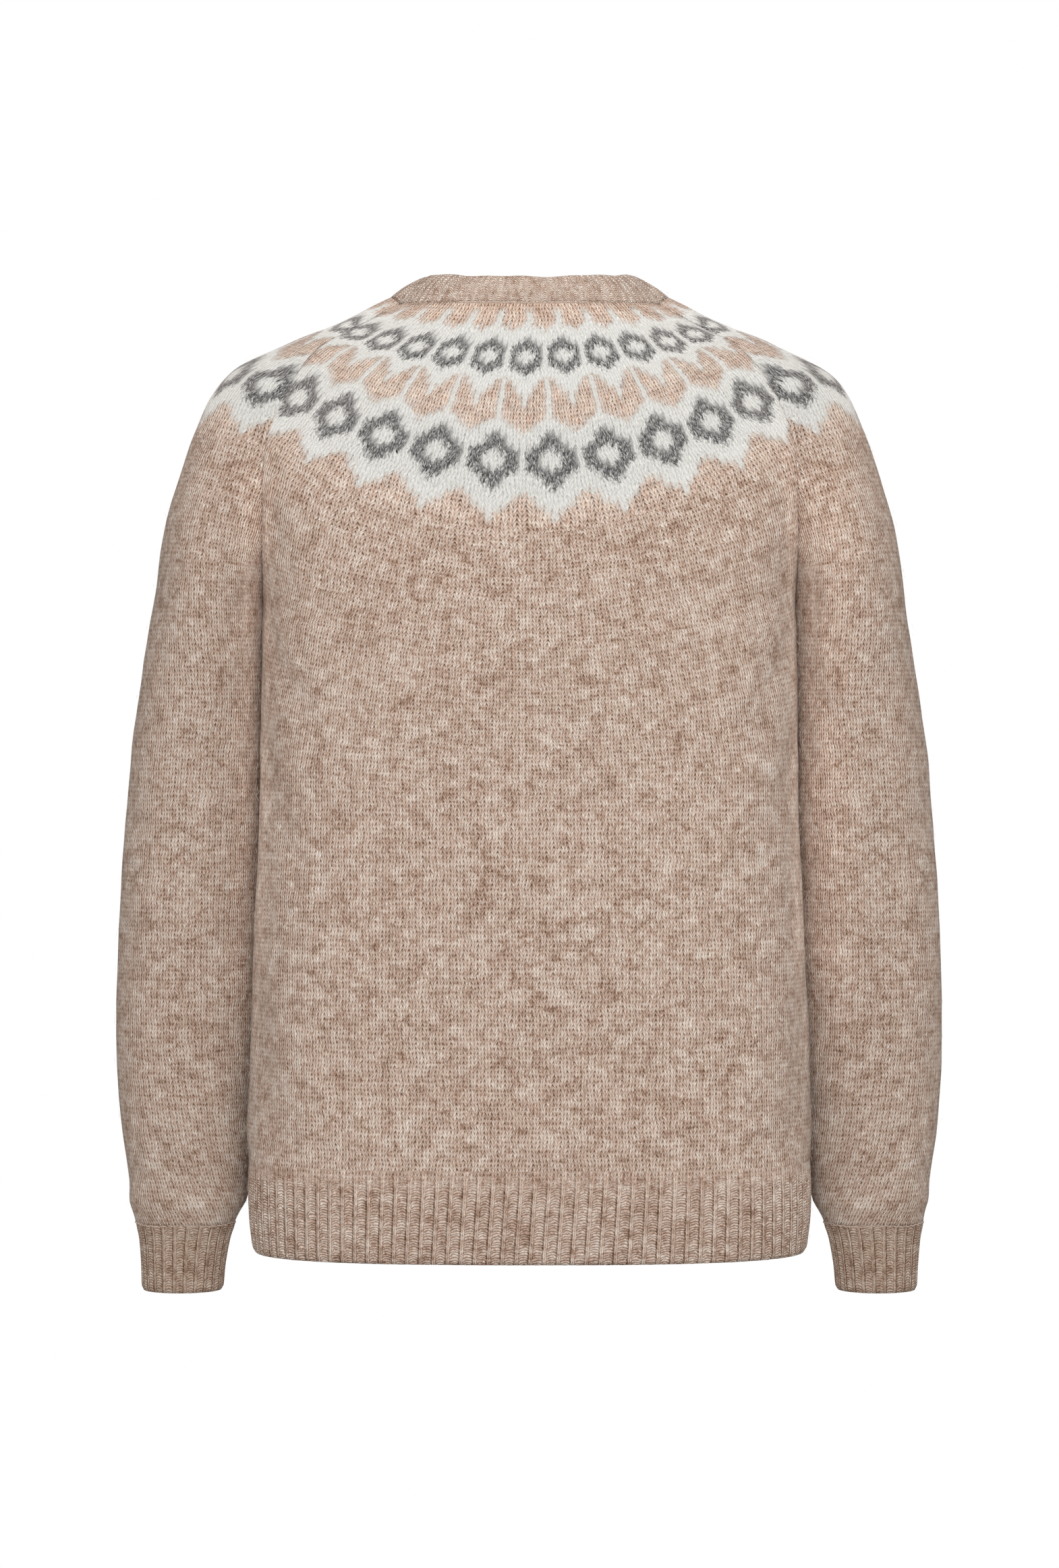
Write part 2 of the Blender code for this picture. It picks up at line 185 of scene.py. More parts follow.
def neckTop(point):
    edge = neckTopEdge
    angle = math.atan2(point[0] / edge["x"], point[1] / (edge["back"] if point[1] > 0 else edge["front"]))
    side = "back" if math.cos(angle) > 0 else "front"
    z = edge["sideZ"] + (edge[side + "Z"] - edge["sideZ"]) * math.cos(angle) ** 2
    return np.array([edge["x"] * math.sin(angle), edge[side] * math.cos(angle), z])


def neckbandPoint(seam, height):
    seam = np.array(seam)
    outward = seam * (1, 1, 0) / np.linalg.norm(seam[:2])
    bulge = form["neckLean"] * math.sin(math.pi * height)
    return seam + (neckTop(seam) - seam) * height + outward * bulge


def frontLine(row, places):
    # points near the centre front; rows from -1 to 0 lie on the neckband
    half = torsoHalf(max(row, 0.0), -1)
    line = np.stack([np.interp(np.abs(places), half[:, 0], half[:, i]) for i in range(3)], axis=1)
    if row < 0:
        line = np.array([neckbandPoint(point, -row) for point in line])
    line[:, 0] = places
    return line


def frontOutward(row):
    ends = (min(row + 0.05, hemRow), max(row - 0.05, -1))
    low, high = (frontLine(end, np.zeros(1))[0] for end in ends)
    out = np.array([0.0, (low - high)[2], -(low - high)[1]])
    return out / np.linalg.norm(out)


def lapped(line, row):
    # the wearer's right front rises where it runs up to the upper band
    near = np.clip(1 - (-line[:, 0] - form["bandWidth"] / 2) / form["lapRamp"], 0, 1)
    near = np.where((line[:, 0] > 0) | (line[:, 1] > 0), 0, near)
    return line + np.outer(near * near * (3 - 2 * near) * form["bandLap"], frontOutward(row))


# how the knitting lies on the surfaces
depthMarks = np.linspace(0, levelRow, 141)
depthRun = lengthsAlong(np.array([torsoHalf(mark, 1, 3)[0] for mark in depthMarks]))
# one yoke repeat at each depth below the neck seam, and how far the chart's middle
# has drifted to the wearer's left there
repeatWidth = {
    "depth": [0, 13, 40, 78, 115, 140, 175, 220, 265, 310],
    "value": [16.2, 18.6, 23.8, 31.1, 36.6, 41.0, 46.5, 52.6, 57.6, 60.5],
}
chartDrift = {"depth": [13, 40, 78, 115], "value": [0.0, 2.0, 3.4, 4.5]}


def depthAt(row):
    return float(np.interp(row, depthMarks, depthRun))


def atDepths(table, rows):
    return np.array([float(np.interp(depthAt(row), table["depth"], table["value"])) for row in rows])


def coursesOf(grid, rows, level):
    # courses down the cloth: level with the neck in the yoke, then evened out to a level round
    steps = np.cumsum(np.linalg.norm(np.diff(grid, axis=0), axis=2), axis=0)
    run = np.concatenate([np.zeros((1, grid.shape[1])), steps])
    rows = np.array(rows)
    last = int(np.argmin(abs(rows - yokeEnd)))
    flat = int(np.argmin(abs(rows - level)))
    yoke = np.array([depthAt(min(row, yokeEnd)) for row in rows])[:, None] / form["course"]
    between = (run - run[last]) / (run[flat] - run[last])
    total = (run[flat] - run[last]).mean() / form["course"]
    below = (run - run[flat]) / form["course"]
    return yoke + np.clip(between, 0, 1) * total + np.clip(below, 0, None)


def normalsOf(grid, flip, roundFrom=None):
    normal = np.cross(np.gradient(grid, axis=0), np.gradient(grid, axis=1))
    normal /= np.linalg.norm(normal, axis=2, keepdims=True) + 1e-12
    normal = -normal if flip else normal
    if roundFrom is not None:
        # the two ends of a closed round share one direction
        seam = unit(normal[roundFrom:, 0] + normal[roundFrom:, -1])
        normal[roundFrom:, 0] = seam
        normal[roundFrom:, -1] = seam
    return normal


def creaseDepth(points, creases):
    # each crease: from, to, width, depth
    total = np.zeros(points.shape[:-1])
    for start, end, width, depth in creases:
        start, end = np.array(start, float), np.array(end, float)
        along = end - start
        share = np.clip(((points - start) @ along) / (along @ along), 0, 1)
        away = np.linalg.norm(points - (start + share[..., None] * along), axis=-1)
        fade = np.sin(np.pi * np.clip(share, 0.02, 0.98)) ** 0.6
        total += depth * fade * bell(away, width)
    return total


def unevenness(points, size, seed):
    # soft wander of hand-worn cloth
    values = [noise.noise(Vector(point / size) + Vector((seed, 0, 0))) for point in points.reshape(-1, 3)]
    return np.array(values).reshape(points.shape[:-1])


def ribHeight(turns):
    # a narrow knit wale between two broad rounded purl bands, with a groove on each side of it
    place = turns - np.floor(turns) - 0.5
    purl = 0.55 * np.cos(np.clip((0.5 - np.abs(place)) / 0.32, 0, 1) * math.pi / 2)
    return purl + 0.45 * bell(place, 0.1) - 0.35 * bell(place - 0.19, 0.06) - 0.15 * bell(place + 0.19, 0.06)


def ribLift(drop, turns, rib):
    # the ribs rise out of the plain cloth, and roll in at their edge
    left = drop[-1, 0] - drop
    (start, least), end = rib["start"], rib["end"]
    rise = rib["ribRise"] * np.clip(drop / start, least, 1) * np.clip(left / end, 0.25, 1)
    return rise * ribHeight(turns) - rib["roll"] * np.clip(1 - left / 3.0, 0, 1) ** 2


def wornLift(grid, placed, creases, column, waves, puff):
    # creases, a soft wander, and cloth that fills out above a rib, all from a little below the top seam
    lift = -creaseDepth(placed, creases)
    for height, size, seed in waves:
        lift = lift + height * unevenness(grid, size, seed)
    level, height, width = puff
    lift = lift + height * bell(grid[..., 2] - level, width)
    return lift * np.clip(lengthsAlong(grid[:, column])[:, None] / 14.0, 0, 1)


def awayFromEdge(run, bothEdges=True):
    away = abs(run - run.max(axis=1, keepdims=True))
    if bothEdges:
        away = np.minimum(away, abs(run - run.min(axis=1, keepdims=True)))
    return away


def seamShape(away, rows):
    # raglan seams fill out softly in the yoke and sink more towards the underarm
    rows = np.array(rows)[:, None]
    full = 2.2 * np.interp(rows, [0, 1.5, 4, 6, 7], [0, 1, 1, 0.4, 0])
    sunk = np.interp(rows, [0, 5.2, 6, 7], [0.0, 0.04, 0.35, 0.6])
    return full * bell(away, 15.0) - sunk * bell(away, 2.4)


def withPlaces(grid, across, down):
    # rows of points, each with the stitch places that its material is drawn by
    return [(line, np.stack([a, d], axis=1), None) for line, a, d in zip(grid, across, down)]


def buildSheet(name, rows, flip, materials, ringFrom=None, ribFrom=None, isOpen=None):
    # rows hold points, stitch places and rib places; a row may have several times the columns of the last
    points = []
    index = []
    for number, (line, _, _) in enumerate(rows):
        ring = ringFrom is not None and number >= ringFrom
        start = len(points)
        points.extend(line[:-1] if ring else line)
        index.append(list(range(start, start + len(line) - 1)) + [start if ring else start + len(line) - 1])
    faces = []
    places = []
    finish = []
    for number in range(len(rows) - 1):
        rib = ribFrom is not None and number >= ribFrom
        upper, lower = (rows[number + step][2 if rib else 1] for step in (0, 1))
        above, below = index[number], index[number + 1]
        split = (len(below) - 1) // (len(above) - 1)
        for column in range(len(above) - 1):
            if isOpen and isOpen(number, column):
                continue
            steps = range(split * column, split * (column + 1) + 1)
            face = [above[column]] + [below[step] for step in steps] + [above[column + 1]]
            place = [upper[column]] + [lower[step] for step in steps] + [upper[column + 1]]
            faces.append(face[::-1] if flip else face)
            places.extend(place[::-1] if flip else place)
            finish.append(1 if rib else 0)
    piece = addMesh(name, points, faces, materials, places, finish)
    shell = piece.modifiers.new("wall", "SOLIDIFY")
    shell.thickness = form["wall"] * 0.001
    shell.offset = -1
    shell.use_even_offset = False
    return piece


def addPiece(name, data):
    piece = bpy.data.objects.new(name, data)
    bpy.context.scene.collection.objects.link(piece)
    return piece


def addMesh(name, points, faces, materials=(), places=None, finish=None):
    mesh = bpy.data.meshes.new(name)
    mesh.from_pydata((np.array(points) * 0.001).tolist(), [], faces)
    if places is not None:
        layer = mesh.uv_layers.new(name="stitches")
        layer.data.foreach_set("uv", np.array(places, float).ravel())
    for material in materials:
        mesh.materials.append(material)
    if finish is not None:
        mesh.polygons.foreach_set("material_index", finish)
    mesh.shade_smooth()
    mesh.update()
    return addPiece(name, mesh)


def tubePath(points, radius, sides=6, closed=False):
    # a round yarn laid along points
    points = np.array(points, float)
    along = np.roll(points, -1, axis=0) - np.roll(points, 1, axis=0)
    if not closed:
        along[0], along[-1] = points[1] - points[0], points[-1] - points[-2]
    along = unit(along)
    guide = np.array([0.31, 0.22, 0.93])  # any direction that no yarn here runs in
    first = unit(np.cross(along, guide))
    second = np.cross(along, first)
    turn = np.linspace(0, 2 * math.pi, sides, endpoint=False)
    ring = np.cos(turn)[None, :, None] * first[:, None] + np.sin(turn)[None, :, None] * second[:, None]
    made = (points[:, None] + ring * radius).reshape(-1, 3)
    faces = []
    count = len(points)
    for i in range(count if closed else count - 1):
        after = (i + 1) % count
        for j in range(sides):
            k = (j + 1) % sides
            faces.append([i * sides + j, i * sides + k, after * sides + k, after * sides + j])
    if not closed:
        faces.append(list(range(sides))[::-1])
        faces.append([(count - 1) * sides + j for j in range(sides)])
    return made, faces


def joinTubes(name, tubes, materials=()):
    points = []
    faces = []
    for made, polygons in tubes:
        start = len(points)
        points.extend(made)
        faces.extend([[start + corner for corner in face] for face in polygons])
    return addMesh(name, points, faces, materials)


def hexColour(code):
    # sRGB hex to linear
    parts = [int(code[i : i + 2], 16) / 255 for i in (0, 2, 4)]
    linear = [part / 12.92 if part <= 0.04045 else ((part + 0.055) / 1.055) ** 2.4 for part in parts]
    return (*linear, 1.0)


def feed(node, key, value):
    # a link from a node or from one of its sockets, or else a fixed value
    if isinstance(value, bpy.types.Node):
        value = next(socket for socket in value.outputs if socket.enabled)
    if isinstance(value, bpy.types.NodeSocket):
        node.id_data.links.new(value, node.inputs[key])
    elif value is not None:
        node.inputs[key].default_value = value


def addNode(tree, kind, *values, **settings):
    # a kind in capitals is an operation of the Math node, and others may end in an operation or a
    # data type; values fill the open sockets in their order
    kind, _, mode = (f"Math {kind}" if kind.isupper() else kind).partition(" ")
    made = tree.nodes.new("ShaderNode" + kind)
    if mode:
        settings["data_type" if kind == "Mix" else "operation"] = mode
    for key, value in settings.items():
        setattr(made, key, value)
    sockets = [number for number, socket in enumerate(made.inputs) if socket.enabled]
    for number, value in zip(sockets, values):
        feed(made, number, value)
    return made


def startMaterial(name, roughness, sheen=0.0, sheenRoughness=0.5, ior=1.5, specular=0.5):
    material = bpy.data.materials.new(name)
    material.use_nodes = True
    shader = material.node_tree.nodes["Principled BSDF"]
    feed(shader, "Roughness", roughness)
    feed(shader, "IOR", ior)
    feed(shader, "Specular IOR Level", specular)
    feed(shader, "Sheen Weight", sheen)
    feed(shader, "Sheen Roughness", sheenRoughness)
    feed(shader, "Sheen Tint", hexColour("c8b2a2"))
    feed(shader, "Diffuse Roughness", 1.0 if sheen else 0.0)
    return material, partial(addNode, material.node_tree), shader


def setRamp(node, stops):
    ramp = node.color_ramp
    while len(ramp.elements) > 1:
        ramp.elements.remove(ramp.elements[-1])
    for number, (place, code) in enumerate(stops):
        element = ramp.elements[0] if number == 0 else ramp.elements.new(place)
        element.position = place
        element.color = hexColour(code)
    return node


yarn = {
    "heather": ((0.285, "72523c"), (0.385, "997b68"), (0.48, "c4ac9c"), (0.6, "dcd0c5")),
    "shadow": "4f3622",
    "cream": ((0.36, "c9c7c2"), (0.56, "dad9d5")),
    "creamShadow": "85827f",
    "grey": ((0.41, "19191b"), (0.5, "5c5c5d"), (0.6, "adadab")),
    "legSlope": 1.5,  # how many courses a leg of the stitch climbs on its way out
    "relief": 0.0009,
}


def stitchRelief(add, across, down):
    # one V stitch per cell: two steep legs, round across, with a small eye of painted shade where loops meet
    shifted = add("ADD", across, 0.5)
    centred = add("SUBTRACT", add("FRACT", shifted), 0.5)
    side = add("MULTIPLY", add("ABSOLUTE", centred), 2.0)
    cell = add("MULTIPLY_ADD", side, yarn["legSlope"], down)
    girth = add("SINE", add("MULTIPLY", side, math.pi))
    rounded = add("POWER", add("MAXIMUM", girth, 0.0), 0.7)
    dip = add("SINE", add("MULTIPLY", add("FRACT", cell), math.pi))
    height = add("MULTIPLY", rounded, add("MULTIPLY_ADD", dip, 0.45, 0.55))
    # painted shade: the gap between two wales is darkened wide, the one between the legs of a stitch only
    # slightly
    inner = add("POWER", add("SUBTRACT", 1.0, side), 3.6)
    gap = add("MULTIPLY_ADD", inner, 0.72, add("POWER", side, 2.6))
    eye = add("MULTIPLY_ADD", add("SUBTRACT", 1.0, dip), 1.25, 0.2)
    leg = add("FLOOR", add("MULTIPLY", shifted, 2.0))
    spot = add("CombineXYZ", leg, add("FLOOR", cell), 0.0)
    tone = add("TexWhiteNoise", spot, noise_dimensions="2D")
    # some loops are pulled tighter than others, and their painted shade is deeper
    tight = add("MULTIPLY_ADD", tone, 0.8, 0.6)
    hollow = add("MULTIPLY", add("MULTIPLY", gap, eye), tight)
    return {"height": height, "hollow": hollow, "side": side, "tone": tone}


# patches of tone in the heathered yarn: size in stitches and courses, turn, detail, roughness, share
melange = (
    ((0.13, 0.17, 1.0), (0.2, 0.3, 0.1), 1.0, 0.5, 0.06),  # broad light and dark stretches
    ((0.40, 0.30, 1.0), (0.5, 0.4, 0.7), 2.0, 0.6, 0.26),  # clouds a few stitches wide
    ((0.74, 0.86, 1.0), (0.1, -0.15, 0.15), 2.0, 0.6, 0.25),  # runs of one shade along the course
    ((2.6, 2.0, 1.0), (-0.6, 0.5, 0.9), 3.0, 0.75, 0.37),  # single flecks
)


def melangeColour(add, across, down, stitch):
    # turned off the lines of the knitting, so that no patch is square to them
    flat = add("CombineXYZ", across, down, 0.0)
    mixed = add("MULTIPLY", stitch["tone"], 0.06)
    for size, turn, detail, roughness, share in melange:
        patch = add("TexNoise", add("Mapping", flat, None, turn, size), 1.0, detail, roughness)
        mixed = add("MULTIPLY_ADD", patch, share, mixed)
    # pale patches are brushed over the eyes of the stitches, brown ones leave them open: the painted shade in
    # the eyes is weaker on pale patches, stronger on brown ones
    stitch["open"] = add("MapRange", mixed, 0.38, 0.62, 1.25, 0.55)
    return setRamp(add("ValToRGB", mixed), yarn["heather"])


def fibreNoise(add, across, down, fine, long, seed=0.0):
    # brushed fibres: fine across the stitch and long along it. A mohair fibre is about 0.03 mm thick,
    # too fine to show, so a streak here is a lock of them, 0.4 mm or wider
    place = add("CombineXYZ", add("MULTIPLY", across, fine), add("MULTIPLY", down, long), seed)
    return add("TexNoise", place, 1.0, 2.0, 0.65)


def courseBand(add, course, first, last):
    above = add("GREATER_THAN", course, first - 0.5)
    return add("MULTIPLY", above, add("LESS_THAN", course, last + 0.5))


def hollowDiamond(add, course, away, first, last, outer, inner, rate):
    # inside the outer steps and outside the inner ones
    off = add("ABSOLUTE", add("SUBTRACT", course, (first + last) / 2))
    inside, hole = (
        add("LESS_THAN", away, add("MINIMUM", add("MULTIPLY_ADD", off, -rate, reach), cap))
        for cap, reach in (outer, inner)
    )
    ring = add("MULTIPLY", inside, add("SUBTRACT", 1.0, hole))
    return add("MULTIPLY", ring, courseBand(add, course, first, last))


# The yoke's chart, in courses below the neck seam. Each repeat has more stitches lower down.
chart = {
    "wider": (8, 20),  # courses where a repeat gains two stitches
    "increases": ((54, 10), (66, 12), (82, 14)),  # below the chart, each repeat takes its own course
    "ticks": (2, 6),
    "white": (7, 52),
    "smallDiamonds": (9, 18),
    "hearts": (20, 32),
    "largeDiamonds": (33, 45),
    "peaks": (47, 60),
    "carried": (32, 47),
}


def yokeChart(add, across, perRepeat, course):
    # masks of the cream and of the grey yarn, stitch by stitch
    stitch = add("FLOOR", add("ADD", across, 0.5))
    halfRepeat = add("MULTIPLY", perRepeat, 0.5)
    away = add("PINGPONG", stitch, halfRepeat)
    opposite = add("SUBTRACT", halfRepeat, away)
    flare = add("ADD", add("GREATER_THAN", course, chart["ticks"][1] - 0.5), 0.5)
    tick = courseBand(add, course, *chart["ticks"])
    tick = add("MULTIPLY", tick, add("LESS_THAN", away, flare))
    small = hollowDiamond(add, course, away, *chart["smallDiamonds"], (2.5, 4.9), (1.5, 1.9), 1.0)
    large = hollowDiamond(add, course, opposite, *chart["largeDiamonds"], (3.5, 4.2), (1.5, 1.7), 0.57)
    first, last = chart["hearts"]
    point = add("MINIMUM", add("MULTIPLY_ADD", course, -1.0, last + 0.4), 3.5)
    lobes = add("MULTIPLY_ADD", course, -0.45, 2.6 + 0.45 * first)
    notch = add("MULTIPLY", add("LESS_THAN", course, last - 5.5), 0.5)
    gap = add("LESS_THAN", away, add("MAXIMUM", lobes, notch))
    solid = add("SUBTRACT", 1.0, gap)
    heart = add("MULTIPLY", add("LESS_THAN", away, point), solid)
    heart = add("MULTIPLY", heart, courseBand(add, course, first, last))
    rise = add("MULTIPLY_ADD", course, 0.7, 0.3 - 0.7 * chart["peaks"][0])
    peak = add("LESS_THAN", away, rise)
    peak = add("MULTIPLY", peak, courseBand(add, course, *chart["peaks"]))
    clear = add("SUBTRACT", 1.0, add("MAXIMUM", heart, peak))
    cream = add("MULTIPLY", courseBand(add, course, *chart["white"]), clear)
    return add("MAXIMUM", cream, tick), add("MAXIMUM", small, large)


valleyLightPaint = {
    "line": (-0.02, 0.1695),  # lean and place of the gap between sleeve and body, in metres
    "bodyReach": 0.013,
    "rightReach": 0.05,
    "leftReach": 0.024,
    # how much painted light lightens the gap on the body and on the sleeve, and the painted shade of the
    # sleeves
    "onBody": 0.40,
    "onSleeve": 0.36,
    "sleeveShade": 0.95,
}


def paintedValleyLight(add):
    # painted light: the narrow gap between sleeve and body, where shade falls, is lightened in the colour,
    # standing for the pale hairs from both sides that fill it
    x, _, z = add("SeparateXYZ", add("TexCoord").outputs["Object"]).outputs
    line = add("MULTIPLY_ADD", z, *valleyLightPaint["line"])
    away = add("SUBTRACT", add("ABSOLUTE", x), line)
    onSleeve = add("GREATER_THAN", away, 0.0)
    sleeveReach = add("MapRange", x, -0.01, 0.01, valleyLightPaint["rightReach"], valleyLightPaint["leftReach"])
    reach = add("Mix FLOAT", onSleeve, valleyLightPaint["bodyReach"], sleeveReach)
    # painted shade: the sleeve side is a little darker than the body
    plain = add("Mix FLOAT", onSleeve, 1.0, valleyLightPaint["sleeveShade"])
    most = add("Mix FLOAT", onSleeve, valleyLightPaint["onBody"], valleyLightPaint["onSleeve"])
    # painted light, strongest at the gap
    near = add("ABSOLUTE", away)
    gain = add("MapRange", near, 0.002, reach, 1.0, 0.0, interpolation_type="SMOOTHSTEP")
    gain = add("MULTIPLY", gain, most)
    # it fades out at the armhole and above the cuff
    for start, end in ((-0.09, -0.15), (-0.52, -0.42)):
        gain = add("MULTIPLY", gain, add("MapRange", z, start, end, 0.0, 1.0))
    return add("ADD", plain, gain)


def finishKnit(add, shader, colour, shadow, stitch, fibres, depth):
    # painted shade: the eyes between legs are mixed towards the shadow colour; painted highlight on the
    # raised middle of each leg; fibre ends catch the light
    dark = add("MULTIPLY", stitch["hollow"], depth)
    dark = add("MULTIPLY", dark, stitch["open"], use_clamp=True)
    tinted = add("Mix RGBA", dark, colour, shadow)
    wisps = add("MapRange", fibres, 0.3, 0.7, 0.9, 1.12)
    # painted highlight on the raised middle of each leg, painted shade low on it
    crownHighlight = add("MapRange", stitch["height"], 0.0, 1.0, 0.88, 1.16)
    for gain in (wisps, crownHighlight, paintedValleyLight(add)):
        tinted = add("VectorMath MULTIPLY", tinted, gain)
    lifted = add("MULTIPLY_ADD", fibres, 0.25, stitch["height"])
    feed(shader, "Base Color", tinted)
    feed(shader, "Roughness", add("MapRange", fibres, 0.3, 0.7, 0.82, 0.98))
    feed(shader, "Normal", add("Bump", 1.0, yarn["relief"], None, lifted))


def brushedStockinette():
    # Wool and mohair blend, knitted plain and brushed: heathered legs, soft edges to every colour
    material, add, shader = startMaterial("brushedStockinette", 0.9, 0.3, 0.6, specular=0.15)
    repeats, down, _ = add("SeparateXYZ", add("UVMap", uv_map="stitches")).outputs
    perRepeat = 4.0
    for mark in chart["wider"]:
        later = add("GREATER_THAN", down, float(mark))
        perRepeat = add("MULTIPLY_ADD", later, 2.0, perRepeat)
    chance = add("TexWhiteNoise", add("FLOOR", repeats), noise_dimensions="1D")
    for mark, spread in chart["increases"]:
        here = add("MULTIPLY_ADD", chance, float(spread), float(mark))
        later = add("GREATER_THAN", down, here)
        perRepeat = add("MULTIPLY_ADD", later, 2.0, perRepeat)
    across = add("MULTIPLY", repeats, perRepeat)
    # the wales wander a little from side to side
    bend = add("TexNoise", add("CombineXYZ", across, down, 3.0), 0.35, 2.0)
    across = add("SUBTRACT", add("MULTIPLY_ADD", bend, 0.9, across), 0.45)
    stitch = stitchRelief(add, across, down)
    # colour changes follow the V of the stitches, blurred by brushed ends
    cell = add("MULTIPLY_ADD", stitch["side"], 0.9, down)
    fibres = fibreNoise(add, across, cell, 7.0, 1.2)
    wander = fibreNoise(add, across, cell, 4.0, 1.1, 4.0)
    fine = fibreNoise(add, across, cell, 11.0, 0.9, 8.0)
    feathered = add("ADD", cell, add("MapRange", wander, 0.3, 0.7, -1.15, 0.3))
    feathered = add("ADD", feathered, add("MapRange", fine, 0.3, 0.7, -0.7, 0.7))
    swayed = add("ADD", across, add("MapRange", fibres, 0.3, 0.7, -0.4, 0.4))
    # the chart is read twice, a little apart, so that every edge has a half-mixed rim
    masks = []
    for apart in (-0.35, 0.35):
        course = add("FLOOR", add("ADD", feathered, apart))
        masks.append(yokeChart(add, add("ADD", swayed, 0.5 * apart), perRepeat, course))
    cream, grey = (add("Mix FLOAT", 0.5, one, two) for one, two in zip(*masks))
    heather = melangeColour(add, across, down, stitch)
    # long pale hairs lie over the heathered yarn inside the yoke, which is lighter there
    hairs = fibreNoise(add, across, down, 5.0, 0.35, 9.0)
    inYoke = add("MapRange", down, 50.0, 56.0, 1.0, 0.0)
    veil = add("MULTIPLY", add("MapRange", hairs, 0.42, 0.68, 0.1, 0.7), inYoke)
    veil = add("MULTIPLY", veil, add("MapRange", down, 0.0, 8.0, 0.35, 1.0))
    streak = add("MULTIPLY_ADD", fibres, 0.5, add("MULTIPLY", wander, 0.5))
    pale = setRamp(add("ValToRGB", streak), yarn["cream"])
    ashen = setRamp(add("ValToRGB", streak), yarn["grey"])
    colour = add("Mix RGBA", inYoke, heather, add("VectorMath MULTIPLY", heather, (1.13, 1.06, 1.0)))
    # pale hairs, then the cream, then the grey with some cream hairs over it
    overGrey = add("MULTIPLY", grey, add("MapRange", fine, 0.52, 0.68, 1.0, 0.5))
    for share, over in ((veil, pale), (cream, pale), (overGrey, ashen)):
        colour = add("Mix RGBA", share, colour, over)
    shadow = add("Mix RGBA", cream, hexColour(yarn["shadow"]), hexColour(yarn["creamShadow"]))
    # grey yarn carried behind the diamonds shows through the eyes of the cream ones
    behind = add("MULTIPLY", courseBand(add, course, *chart["carried"]), cream)
    # painted shade depth in the eyes: faint on the cream, deeper where the grey shows through, full on the
    # heathered yarn
    paleDepth = add("Mix FLOAT", behind, 0.12, add("MapRange", hairs, 0.45, 0.62, 0.15, 0.75))
    depth = add("Mix FLOAT", cream, 1.05, paleDepth)
    # the brushed cream lies flatter than the rest
    flatter = add("MapRange", cream, 0.0, 1.0, 1.0, 0.5)
    stitch["height"] = add("MULTIPLY", stitch["height"], flatter)
    finishKnit(add, shader, colour, shadow, stitch, fibres, depth)
    return material


purlArc = 1.7  # height in millimetres of one arc of the purl band


def ribbedStockinette(name, knitShare, start=0.0, tint=(1.0, 1.0, 1.0)):
    # The same yarn in one-by-one rib: a thin wale made pale by painted highlight, a groove dotted with
    # painted shade, and a broad band of small arcs with painted shade between them
    material, add, shader = startMaterial(name, 0.92, 0.3, 0.6, specular=0.15)
    turns, down, _ = add("SeparateXYZ", add("UVMap", uv_map="stitches")).outputs
    centred = add("SUBTRACT", add("FRACT", turns), 0.5)
    far = add("ABSOLUTE", centred)
    wale = stitchRelief(add, add("MULTIPLY", centred, 1 / max(knitShare, 0.05)), down)
    across = add("MULTIPLY", turns, 2.0)
    plain = stitchRelief(add, across, down)
    fibres = fibreNoise(add, across, down, 6.0, 1.9)
    slow = fibreNoise(add, across, down, 0.8, 0.7, 3.0)
    # arcs: highest in the middle of the purl band, a little uneven
    arc = add("MULTIPLY", add("SUBTRACT", 0.5, far), 2.6)
    arc = add("MULTIPLY", add("POWER", arc, 2.0), -0.9)
    arc = add("ADD", arc, add("MapRange", slow, 0.3, 0.7, -0.4, 0.4))
    lines = add("MULTIPLY_ADD", down, form["course"] / purlArc, arc)
    lines = add("ABSOLUTE", add("SINE", add("MULTIPLY", lines, math.pi)))
    purl = add("POWER", lines, 0.8)
    # painted shade between the purl arcs
    purlShade = add("MULTIPLY", add("SUBTRACT", 1.0, purl), 0.65)
    edge = 1.0
    if knitShare:
        ends = (knitShare * 0.5, knitShare * 0.5 + 0.05)
        edge = add("MapRange", far, *ends, 0.0, 1.0, interpolation_type="SMOOTHSTEP")
    height = add("Mix FLOAT", edge, wale["height"], purl)
    hollow = add("Mix FLOAT", edge, wale["hollow"], purlShade)
    # painted shade in the groove beside the wale, which the brushed nap hides in places
    beside = add("ABSOLUTE", add("SUBTRACT", centred, 0.19))
    deepest = 0.65 if knitShare else 0.0
    grooveShade = add("MapRange", beside, 0.02, 0.08, deepest, 0.0, interpolation_type="SMOOTHSTEP")
    nap = add("MapRange", fibreNoise(add, across, down, 0.9, 0.5, 6.0), 0.36, 0.64, 0.55, 1.2)
    grooveShade = add("MULTIPLY", grooveShade, nap)
    hollow = add("MINIMUM", add("ADD", hollow, grooveShade), 1.0)
    if start:
        # the rib settles out of the plain cloth over a few courses
        ragged = add("MULTIPLY_ADD", slow, -4.0, down)
        begun = add("MapRange", ragged, -1.5, start, 0.0, 1.0)
        height = add("Mix FLOAT", begun, plain["height"], height)
        hollow = add("Mix FLOAT", begun, plain["hollow"], hollow)
    plain["height"] = height
    plain["hollow"] = hollow
    colour = melangeColour(add, across, down, plain)
    # painted highlight: the raised knit wale is lighter; the tint darkens the hem and cuff ribs, as painted
    # shade
    waleHighlight = add("MapRange", far, knitShare * 0.4, knitShare * 0.6, 0.17, 0.0)
    for gain in (add("MULTIPLY_ADD", waleHighlight, nap, 1.0), tint):
        colour = add("VectorMath MULTIPLY", colour, gain)
    finishKnit(add, shader, colour, hexColour(yarn["shadow"]), plain, fibres, 0.95)
    return material


